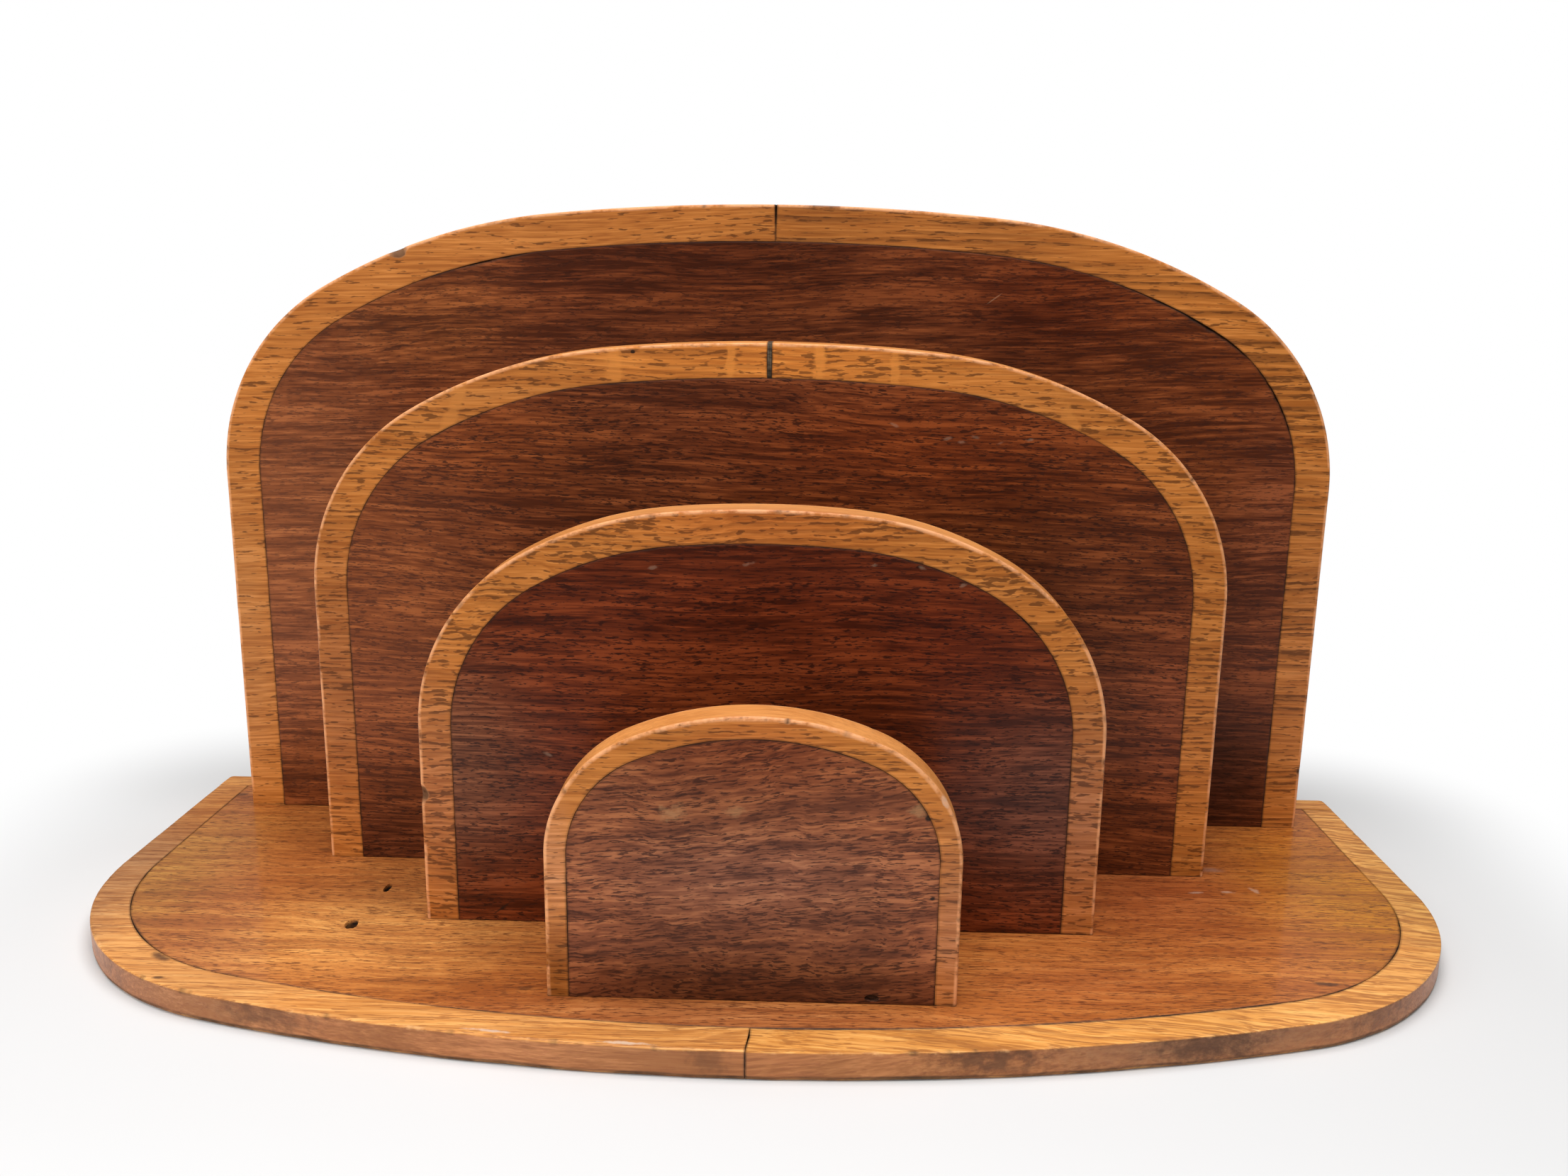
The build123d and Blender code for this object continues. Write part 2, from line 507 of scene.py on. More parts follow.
@dataclass(frozen=True)
class BandPiece:
    """One sawn piece of the oak band round a board."""

    board: Board
    width: float
    begin: Cut
    end: Cut
    show_arris: Arris
    back_arris: Arris
    ease: float = 0.12 * MM
    drop: float = 0.0
    # Share of the grime colour on the back arris: a painted contact shadow where a base band stands on the
    # floor
    painted_foot_shadow: float = 0.0
    end_dirt: float = 0.8

    def section(self, show: Pair, back: Pair) -> list[SectionPoint]:
        """Section of the band, from its inner edge over the show face and the outer edge to the back.

        Args:
            show: radius and brokenness of the arris on the show face.
            back: the same for the back.

        Returns:
            The points of the section, in order.
        """
        deep = self.board.thickness
        wide = self.width
        notch = DEEP_FROM * deep
        (front_r, front_broken), (back_r, back_broken) = show, back
        points = [SectionPoint(wide - self.ease, 0.0, glue=0.5), SectionPoint(wide - self.ease - HOLD, 0.0),
                  SectionPoint(INNER_FROM * wide, 0.0), SectionPoint(front_r + HOLD, 0.0)]
        for turn in QUARTER_TURNS:
            points.append(SectionPoint(front_r * (1 - math.sin(turn)), front_r * (1 - math.cos(turn)),
                                       wear=1.0, broken=front_broken))
        points += [SectionPoint(0.0, front_r + HOLD), SectionPoint(0.0, notch),
                   SectionPoint(0.0, deep - back_r - HOLD)]
        # At a base band's foot the back arris takes the painted contact shadow in place of wear
        for turn in QUARTER_TURNS:
            points.append(SectionPoint(back_r * (1 - math.cos(turn)), deep - back_r * (1 - math.sin(turn)),
                                       1.0 - self.painted_foot_shadow, self.painted_foot_shadow, back_broken))
        points += [SectionPoint(back_r + HOLD, deep), SectionPoint(wide - self.ease - HOLD, deep),
                   SectionPoint(wide - self.ease, deep, glue=0.5)]
        points += [SectionPoint(wide, depth, glue=1.0) for depth in (deep - self.ease, notch, self.ease)]
        return points

    def build(self, name: str) -> WoodMesh:
        """Sweeps the section along the outline from one end to the other.

        Args:
            name: name of the mesh.

        Returns:
            The finished shape, not yet an object.
        """
        mesh = WoodMesh(name)
        outline = self.board.outline
        show_size = self.show_arris.sizes(outline)
        back_size = self.back_arris.sizes(outline)
        length = self.end.outer - self.begin.outer
        steps = math.ceil(length / RING_STEP)
        between = ((i + 1) / (steps + 1) for i in range(1, steps))
        rings: list[Ring] = []
        for share in (0.0, HOLD / length, *between, 1 - HOLD / length, 1.0):
            along = self.begin.outer + share * length
            darkening = self.end_dirt if share in (0.0, 1.0) else 0.0
            ring = []
            for spot in self.section(show_size(along), back_size(along)):
                where = (spot.inset / self.width, spot.depth / self.board.thickness)
                first, last = self.begin.at(*where), self.end.at(*where)
                flat = outline.inset(first + share * (last - first), spot.inset)
                drop = self.drop if spot.depth < self.ease else 0.0
                ring.append(mesh.point(self.board.place(flat, max(spot.depth, drop)), wear=spot.wear,
                                       glue=max(spot.glue, darkening), broken=spot.broken,
                                       side=1.0 if spot.inset == 0.0 else 0.0))
            if rings:
                mesh.skin(rings[-1], ring)
            rings.append(ring)
        mesh.lid(rings[0])
        mesh.lid(rings[-1])
        return mesh


class RimLevel(NamedTuple):
    """One loop of a slab's rim: how far in and how deep it lies, in sizes of the rim, and its darkening."""

    inwards: float
    sink: float
    darkening: float
    held: bool = False


RIM = (RimLevel(1.0, 0.0, 0.0, held=True), RimLevel(1.0, 0.0, 0.5), RimLevel(0.3, 0.5, 1.0),
       RimLevel(0.0, 1.4, 1.0))


@dataclass(frozen=True)
class Slab:
    """A flat piece with a closed outline and eased rims, such as a core, a strip or a slip."""

    board: Board
    corners: tuple[Vector, ...]
    rim: Callable[[int], float]
    glued: bool = True
    pits: tuple[Pit, ...] = ()
    back_pits: tuple[Pit, ...] = ()

    def inwards(self) -> list[Vector]:
        """Mitred inward directions at the corners of the outline.

        Returns:
            One vector per corner, which moves both of its sides in by 1.
        """
        pairs = list(zip(self.corners, (*self.corners[1:], self.corners[0])))
        turn = 1.0 if sum(first.cross(second) for first, second in pairs) > 0 else -1.0
        sides = []
        for first, second in pairs:
            run = (second - first).normalized()
            sides.append(Vector((-run.y, run.x)) * turn)
        ways = []
        for i, side in enumerate(sides):
            both = sides[i - 1] + side
            ways.append(both * (2 / both.length_squared))
        return ways

    def pit_rings(self, mesh: WoodMesh, pit: Pit, back: bool) -> Ring:
        """Builds the wall and floor of a pit.

        Args:
            mesh: the mesh that the pit belongs to.
            pit: its place and sizes.
            back: whether it lies in the back of the board.

        Returns:
            The ring of points at its mouth.
        """
        rings: list[Ring] = []
        for level, (share, scale) in enumerate(pit.levels()):
            ring = []
            for i in range(pit.corners):
                angle = math.tau * i / pit.corners
                round_rim = pit.rim_waves * math.cos(angle) + pit.centre[0] / MM
                swell = 1 + pit.ragged * ripple(round_rim, math.sin(angle))
                out = Vector((math.cos(angle) * pit.half[0], math.sin(angle) * pit.half[1])) * swell * scale
                depth = share * pit.depth
                place = self.board.place(Vector(pit.centre) + out,
                                         self.board.thickness - depth if back else depth)
                ring.append(mesh.point(place, broken=pit.dirt_broken * pit.darkening,
                                       glue=pit.darkening if level else 0.0))
            if rings:
                mesh.skin(rings[-1], ring)
            rings.append(ring)
        mesh.lid(rings[-1])
        return rings[0]

    def build(self, name: str) -> WoodMesh:
        """Makes the rims, both faces and the pits.

        Args:
            name: name of the mesh.

        Returns:
            The finished shape, not yet an object.
        """
        mesh = WoodMesh(name)
        ways = self.inwards()
        deep = self.board.thickness
        dark = 1.0 if self.glued else 0.0
        rim_wear_and_highlight = 0.0 if self.glued else 1.0
        rings: list[Ring] = []
        for from_back in (False, True):
            for level in reversed(RIM) if from_back else RIM:
                ring = []
                for i, corner in enumerate(self.corners):
                    inset = level.inwards * self.rim(i) + (HOLD if level.held else 0.0)
                    depth = level.sink * self.rim(i)
                    place = self.board.place(corner + inset * ways[i], deep - depth if from_back else depth)
                    ring.append(mesh.point(place, glue=dark * level.darkening, wear=0.0 if level.held else rim_wear_and_highlight))
                if rings:
                    mesh.skin(rings[-1], ring)
                rings.append(ring)
        mouths = [self.pit_rings(mesh, pit, False) for pit in self.pits]
        mesh.fill(rings[0], mouths, self.board.normal(True))
        mouths = [self.pit_rings(mesh, pit, True) for pit in self.back_pits]
        mesh.fill(rings[-1], mouths, self.board.normal(False))
        return mesh


class Graph:
    """Short ways to add and join nodes in one node tree."""

    def __init__(self, tree: bpy.types.NodeTree) -> None:
        """Works on a tree that exists."""
        self.tree = tree

    def node(self, kind: str, **settings: object) -> bpy.types.Node:
        """Adds a node and sets its options.

        Args:
            kind: type of the node.
            settings: its options by name.

        Returns:
            The node.
        """
        node = self.tree.nodes.new(kind)
        for key, value in settings.items():
            setattr(node, key, value)
        return node

    def feed(self, socket: bpy.types.NodeSocket, source: Source) -> None:
        """Links a socket to another, or gives it a plain value.

        Args:
            socket: the input to feed.
            source: an output, or a number, colour or vector.
        """
        if isinstance(source, bpy.types.NodeSocket):
            self.tree.links.new(source, socket)
        elif socket.type == "RGBA" and isinstance(source, tuple):
            socket.default_value = (*source[:3], 1.0)
        else:
            socket.default_value = source

    def math(self, operation: str, *sources: Source, clamp: bool = False) -> bpy.types.NodeSocket:
        """Adds a Math node.

        Args:
            operation: what the node works out.
            sources: its inputs in order.
            clamp: whether the result is kept from 0 to 1.

        Returns:
            The result.
        """
        node = self.node("ShaderNodeMath", operation=operation, use_clamp=clamp)
        for socket, source in zip(node.inputs, sources):
            self.feed(socket, source)
        return node.outputs[0]

    def vector(self, operation: str, *sources: Source, out: str = "Vector") -> bpy.types.NodeSocket:
        """Adds a Vector Math node.

        Args:
            operation: what the node works out.
            sources: its inputs in order.
            out: name of the output that is wanted.

        Returns:
            The result.
        """
        node = self.node("ShaderNodeVectorMath", operation=operation)
        for socket, source in zip(node.inputs, sources):
            self.feed(socket, source)
        return node.outputs[out]

    def mix(self, factor: Source, low: Source, high: Source, blend: str = "MIX") -> bpy.types.NodeSocket:
        """Mixes two colours.

        Args:
            factor: share of the second colour.
            low: the first colour.
            high: the second colour.
            blend: how they join.

        Returns:
            The mixed colour.
        """
        node = self.node("ShaderNodeMix", data_type="RGBA", blend_type=blend)
        for index, source in ((0, factor), (6, low), (7, high)):
            self.feed(node.inputs[index], source)
        return node.outputs[2]

    def smooth(self, value: Source, low: Source, high: Source) -> bpy.types.NodeSocket:
        """Smooth step of a value from 0 at low to 1 at high.

        Args:
            value: what is measured.
            low: where the step starts.
            high: where it ends, which may lie below the start.

        Returns:
            The step, from 0 to 1.
        """
        node = self.node("ShaderNodeMapRange", interpolation_type="SMOOTHSTEP")
        for name, source in (("Value", value), ("From Min", low), ("From Max", high)):
            self.feed(node.inputs[name], source)
        return node.outputs["Result"]

    def noise(self, place: Source, detail: float = 2.0, rough: float = 0.5,
              scale: float = 1.0) -> bpy.types.NodeSocket:
        """Adds a Noise Texture.

        Args:
            place: where the noise is read.
            detail: number of finer layers.
            rough: strength of each finer layer.
            scale: steps per unit of length.

        Returns:
            The noise, from 0 to 1.
        """
        node = self.node("ShaderNodeTexNoise")
        self.feed(node.inputs["Vector"], place)
        for name, value in (("Scale", scale), ("Detail", detail), ("Roughness", rough)):
            node.inputs[name].default_value = value
        return node.outputs["Fac"]

    def split(self, vector: Source) -> tuple[bpy.types.NodeSocket, ...]:
        """The three parts of a vector.

        Args:
            vector: the vector.

        Returns:
            Its X, Y and Z.
        """
        node = self.node("ShaderNodeSeparateXYZ")
        self.feed(node.inputs[0], vector)
        return tuple(node.outputs)

    def join(self, *parts: Source) -> bpy.types.NodeSocket:
        """A vector from its three parts.

        Args:
            parts: its X, Y and Z.

        Returns:
            The vector.
        """
        node = self.node("ShaderNodeCombineXYZ")
        for socket, part in zip(node.inputs, parts):
            self.feed(socket, part)
        return node.outputs[0]

    def attribute(self, name: str) -> bpy.types.NodeSocket:
        """A value stored on the points of the mesh."""
        return self.node("ShaderNodeAttribute", attribute_name=name).outputs["Fac"]

    def millimetres(self) -> bpy.types.NodeSocket:
        """Point of the object, in millimetres."""
        return self.vector("MULTIPLY", self.node("ShaderNodeTexCoord").outputs["Object"], (1 / MM,) * 3)

    def use(self, group: bpy.types.ShaderNodeTree, values: dict[str, Source]) -> bpy.types.NodeSocket:
        """Places a node group with its own values.

        Args:
            group: the node group.
            values: its inputs by name.

        Returns:
            The group's result.
        """
        node = self.node("ShaderNodeGroup", node_tree=group)
        for name, source in values.items():
            self.feed(node.inputs[name], source)
        return node.outputs[0]

    def blend(self, factor: Source, first: bpy.types.Node, second: bpy.types.Node) -> bpy.types.NodeSocket:
        """Mixes two shaders.

        Args:
            factor: share of the second shader.
            first: node of the first shader.
            second: node of the second shader.

        Returns:
            The mixed shader.
        """
        node = self.node("ShaderNodeMixShader")
        for socket, source in zip(node.inputs, (factor, first.outputs[0], second.outputs[0])):
            self.feed(socket, source)
        return node.outputs[0]


class Kind(Enum):
    """Sockets that the node groups use."""

    VALUE = "NodeSocketFloat"
    VECTOR = "NodeSocketVector"


GroupParts = tuple[Graph, bpy.types.bpy_prop_collection, bpy.types.NodeSocket]


def new_group(name: str, vectors: Sequence[str], values: Sequence[str], output: str) -> GroupParts:
    """Starts a shader node group with one value as its result.

    Args:
        name: name of the group.
        vectors: names of the inputs that are vectors.
        values: names of the inputs that are plain values.
        output: name of the result.

    Returns:
        The group's graph, its inputs by name, and the socket that takes the result.
    """
    tree = bpy.data.node_groups.new(name, "ShaderNodeTree")
    for kind, labels in ((Kind.VECTOR, vectors), (Kind.VALUE, values)):
        for label in labels:
            tree.interface.new_socket(name=label, in_out="INPUT", socket_type=kind.value)
    tree.interface.new_socket(name=output, in_out="OUTPUT", socket_type=Kind.VALUE.value)
    graph = Graph(tree)
    return graph, graph.node("NodeGroupInput").outputs, graph.node("NodeGroupOutput").inputs[0]


def bend_group() -> bpy.types.ShaderNodeTree:
    """Builds the sideways bend of the grain: slow waves, and short ripples in curly wood.

    Returns:
        The node group.
    """
    graph, given, result = new_group("grain_bend", ("Place",), ("Waver", "Curl"), "Bend")
    waves = []
    for pace in ((0.016, 0.03, 0.03), (0.13, 0.07, 0.07)):
        wave = graph.noise(graph.vector("MULTIPLY", given["Place"], pace), detail=1.0)
        waves.append(graph.math("SUBTRACT", wave, 0.5))
    slow = graph.math("MULTIPLY", waves[0], given["Waver"])
    graph.feed(result, graph.math("MULTIPLY_ADD", waves[1], given["Curl"], slow))
    return graph.tree


def streaks_group() -> bpy.types.ShaderNodeTree:
    """Builds the long soft streaks of wood grain, stretched along X, in millimetres.

    Returns:
        The node group.
    """
    graph, given, result = new_group("grain_streaks", ("Place",), ("Length", "Width", "Seed"), "Streak")
    size = graph.join(given["Length"], given["Width"], given["Width"])
    place = graph.vector("DIVIDE", given["Place"], size)
    place = graph.vector("ADD", place, graph.join(given["Seed"], 0.0, 0.0))
    graph.feed(result, graph.noise(place, detail=2.0, rough=0.55))
    return graph.tree


def rings_group() -> bpy.types.ShaderNodeTree:
    """Builds the growth rings: each darkens slowly, ends at a sharp line and fades along the plank.

    Returns:
        The node group.
    """
    graph, given, result = new_group("growth_rings", ("Place",), ("Spacing", "Seed"), "Ring")
    uneven_pace = (0.007, 0.12, 0.12)
    fading_pace = (0.02, 0.16, 0.16)
    slant = 0.7
    unevenness = 4.0
    shift = graph.join(given["Seed"], 0.0, 0.0)
    flat = graph.vector("MULTIPLY", given["Place"], uneven_pace)
    uneven = graph.noise(graph.vector("ADD", flat, shift), detail=1.0)
    _, across, up = graph.split(given["Place"])
    depth = graph.math("DIVIDE", graph.math("MULTIPLY_ADD", across, slant, up), given["Spacing"])
    year = graph.math("FRACT", graph.math("MULTIPLY_ADD", uneven, unevenness, depth))
    late = graph.math("MULTIPLY", graph.smooth(year, 0.2, 0.85), graph.smooth(year, 1.0, 0.92))
    strong = graph.noise(graph.vector("MULTIPLY", given["Place"], fading_pace), detail=1.0)
    graph.feed(result, graph.math("MULTIPLY", late, graph.smooth(strong, 0.34, 0.58)))
    return graph.tree


def pores_group(streaks: bpy.types.ShaderNodeTree) -> bpy.types.ShaderNodeTree:
    """Builds the short dark dashes of open pores, which crowd in some streaks and along the rings.

    Args:
        streaks: the node group of the streaks.

    Returns:
        The node group.
    """
    graph, given, result = new_group(
        "pore_dashes", ("Place",), ("Length", "Width", "Seed", "Amount", "Ring"), "Pores")
    crowd_length, crowd_width, crowd_seed = 9.0, 7.0, 3.7
    crowd_pull, ring_pull, amount_pull = 0.3, 0.14, 0.16
    bare_level, softness = 0.68, 0.055
    fine = graph.use(streaks, {name: given[name] for name in ("Place", "Length", "Width", "Seed")})
    crowd = graph.use(streaks, {
        "Place": given["Place"], "Length": graph.math("MULTIPLY", given["Length"], crowd_length),
        "Width": graph.math("MULTIPLY", given["Width"], crowd_width),
        "Seed": graph.math("ADD", given["Seed"], crowd_seed)})
    value = graph.math("MULTIPLY_ADD", crowd, crowd_pull, graph.math("SUBTRACT", fine, crowd_pull / 2))
    value = graph.math("MULTIPLY_ADD", given["Ring"], ring_pull, value)
    level = graph.math("SUBTRACT", bare_level, graph.math("MULTIPLY", given["Amount"], amount_pull))
    graph.feed(result, graph.smooth(value, level, graph.math("ADD", level, softness)))
    return graph.tree


def wear_group() -> bpy.types.ShaderNodeTree:
    """Builds the mask of rubbed arrises, which also paints a highlight line along them: broken along the
    edge, fullest where it is chipped.

    Returns:
        The node group.
    """
    graph, given, result = new_group("rubbed_arris_and_highlight", ("Place",), ("Wear and highlight", "Amount", "Seed"), "Rubbed and highlight")
    coarse_share = 0.75
    whole_level, amount_pull, softness = 0.75, 0.5, 0.22
    shifted = graph.vector("ADD", given["Place"], graph.join(given["Seed"], 0.0, 0.0))
    coarse = graph.math("MULTIPLY", graph.noise(shifted, scale=0.13, detail=3.0, rough=0.6), coarse_share)
    fine = graph.math("MULTIPLY", graph.noise(shifted, scale=1.1, detail=2.0), 1 - coarse_share)
    level = graph.math("SUBTRACT", whole_level, graph.math("MULTIPLY", given["Amount"], amount_pull))
    mask = graph.smooth(graph.math("ADD", coarse, fine), level, graph.math("ADD", level, softness))
    graph.feed(result, graph.math("MULTIPLY", mask, given["Wear and highlight"]))
    return graph.tree


def patch_group() -> bpy.types.ShaderNodeTree:
    """Builds a local mark: a ragged ellipsoid, or a line when it is long and thin.

    Returns:
        The node group.
    """
    graph, given, result = new_group(
        "local_mark", ("Place", "Centre", "Half size", "Turn"), ("Ragged", "Soft"), "Mark")
    turned = graph.node("ShaderNodeVectorRotate", rotation_type="EULER_XYZ")
    graph.feed(turned.inputs["Vector"], graph.vector("SUBTRACT", given["Place"], given["Centre"]))
    graph.feed(turned.inputs["Rotation"], given["Turn"])
    scaled = graph.vector("DIVIDE", turned.outputs[0], given["Half size"])
    reach = graph.vector("LENGTH", scaled, out="Value")
    rough = graph.math("SUBTRACT", graph.noise(given["Place"], scale=0.42, detail=3.0, rough=0.6), 0.5)
    reach = graph.math("ADD", reach, graph.math("MULTIPLY", rough, given["Ragged"]))
    inside = graph.math("SUBTRACT", 1.0, given["Soft"])
    graph.feed(result, graph.math("SUBTRACT", 1.0, graph.smooth(reach, inside, 1.0)))
    return graph.tree


def grime_and_shadow_group() -> bpy.types.ShaderNodeTree:
    """Builds the mask of dark glue and dirt in joints, and of the painted contact shadow at the base's foot,
    stronger in some stretches than in others.

    Returns:
        The node group.
    """
    graph, given, result = new_group("joint_grime_and_foot_shadow", ("Place",), ("Glue", "Amount"), "Grime and shadow")
    patchy_share = 0.6
    patchy = graph.noise(given["Place"], scale=0.09, detail=4.0, rough=0.65)
    patchy = graph.math("MULTIPLY", graph.smooth(patchy, 0.3, 0.7), patchy_share)
    mask = graph.math("MULTIPLY", graph.math("ADD", patchy, 1 - patchy_share), given["Glue"])
    graph.feed(result, graph.math("MULTIPLY", mask, given["Amount"], clamp=True))
    return graph.tree


@dataclass(frozen=True)
class Effects:
    """The node groups that the finishes share, each built once."""

    bend: bpy.types.ShaderNodeTree
    streaks: bpy.types.ShaderNodeTree
    rings: bpy.types.ShaderNodeTree
    pores: bpy.types.ShaderNodeTree
    wear: bpy.types.ShaderNodeTree
    patch: bpy.types.ShaderNodeTree
    grime_and_shadow: bpy.types.ShaderNodeTree

    @classmethod
    def make(cls) -> "Effects":
        """Builds every group.

        Returns:
            The groups.
        """
        streaks = streaks_group()
        return cls(bend_group(), streaks, rings_group(), pores_group(streaks), wear_group(), patch_group(),
                   grime_and_shadow_group())


class Blend(Enum):
    """How a mark joins the wood under it."""

    COVER = "MIX"
    TINT = "MULTIPLY"


@dataclass(frozen=True)
class Mark:
    """A stain, scuff, scratch, ray fleck, dark hollow or patch of painted light and shade, on a show face or
    on the outer edge alone.

    Places are in the plane of the board, in millimetres, and the turn is in degrees.
    """

    centre: Pair
    half: Pair
    colour: Colour = (0.03, 0.014, 0.007)
    strength: float = 0.8
    turn: float = 0.0
    ragged: float = 0.5
    soft: float = 0.5
    blend: Blend = Blend.COVER
    deep: float = 3.0
    edge_only: bool = False

    def mask(self, surface: "Surface") -> bpy.types.NodeSocket:
        """Finds how much of the mark lies on each point.

        Args:
            surface: the surface that carries the mark.

        Returns:
            The mask of the mark.
        """
        face = surface.board.face / MM
        turn = math.radians(self.turn)
        upright = surface.board.lie is Lie.FRONT
        return surface.graph.use(surface.effects.patch, {
            "Place": surface.point,
            "Centre": (self.centre[0], face, self.centre[1]) if upright else (*self.centre, face),
            "Half size": (self.half[0], self.deep, self.half[1]) if upright else (*self.half, self.deep),
            "Turn": (0.0, turn, 0.0) if upright else (0.0, 0.0, -turn),
            "Ragged": self.ragged, "Soft": self.soft})


def light_and_tone_patch(centre: Pair, half: Pair, colour: Colour) -> Mark:
    """A large soft change of tone, which multiplies the wood's colour: mostly painted light, shade and
    reflection, with some of the wood's own tone.
    """
    return Mark(centre, half, colour, 1.0, ragged=0.3, soft=0.95, blend=Blend.TINT)


def lit_tone_haze(centre: Pair, half: Pair, colour: Colour) -> Mark:
    """A large place where the grain shows less, under a cover of the brighter tone that the light gives
    there: painted light.
    """
    return Mark(centre, half, colour, 0.3, ragged=0.3, soft=0.95)


RAY_HALF_LENGTH = 14.0


def ray(centre: Pair, wide: float, turn: float = 0.0) -> Mark:
    """A stripe across the grain where the saw met a ray of the oak, with no pores in it."""
    return Mark(centre, (wide, RAY_HALF_LENGTH), strength=1.0, turn=turn, ragged=1.5, soft=0.6)


@dataclass(frozen=True)
class Figure:
    """How one board was cut from its plank: its grain, tone and marks, with painted light and shade among the
    marks.
    """

    seed: float
    tilt: float = 0.0
    tone: Colour = (1.0, 1.0, 1.0)
    waver: float = 1.0
    curl: float = 0.0
    rings: float = 0.0
    ring_step: float = 2.0
    pores: float = 1.0
    pore_depth: float = 1.0
    dash: Pair | None = None
    rays: tuple[Mark, ...] = ()
    marks: tuple[Mark, ...] = ()


@dataclass(frozen=True)
class Surface:
    """What a wood is laid on: a material's nodes, each point in millimetres, the board and its cut."""

    graph: Graph
    point: bpy.types.NodeSocket
    board: Board
    figure: Figure
    effects: Effects

    def in_plank(self) -> bpy.types.NodeSocket:
        """Each point in the plank that the piece was cut from, with the grain along X.

        Returns:
            The turned and shifted point, in millimetres.
        """
        axis = "Y_AXIS" if self.board.lie is Lie.FRONT else "Z_AXIS"
        turned = self.graph.node("ShaderNodeVectorRotate", rotation_type=axis)
        self.graph.feed(turned.inputs["Vector"], self.point)
        turned.inputs["Angle"].default_value = math.radians(self.figure.tilt)
        shift = tuple(step * self.figure.seed for step in PLANK_STEPS)
        return self.graph.vector("ADD", turned.outputs[0], shift)


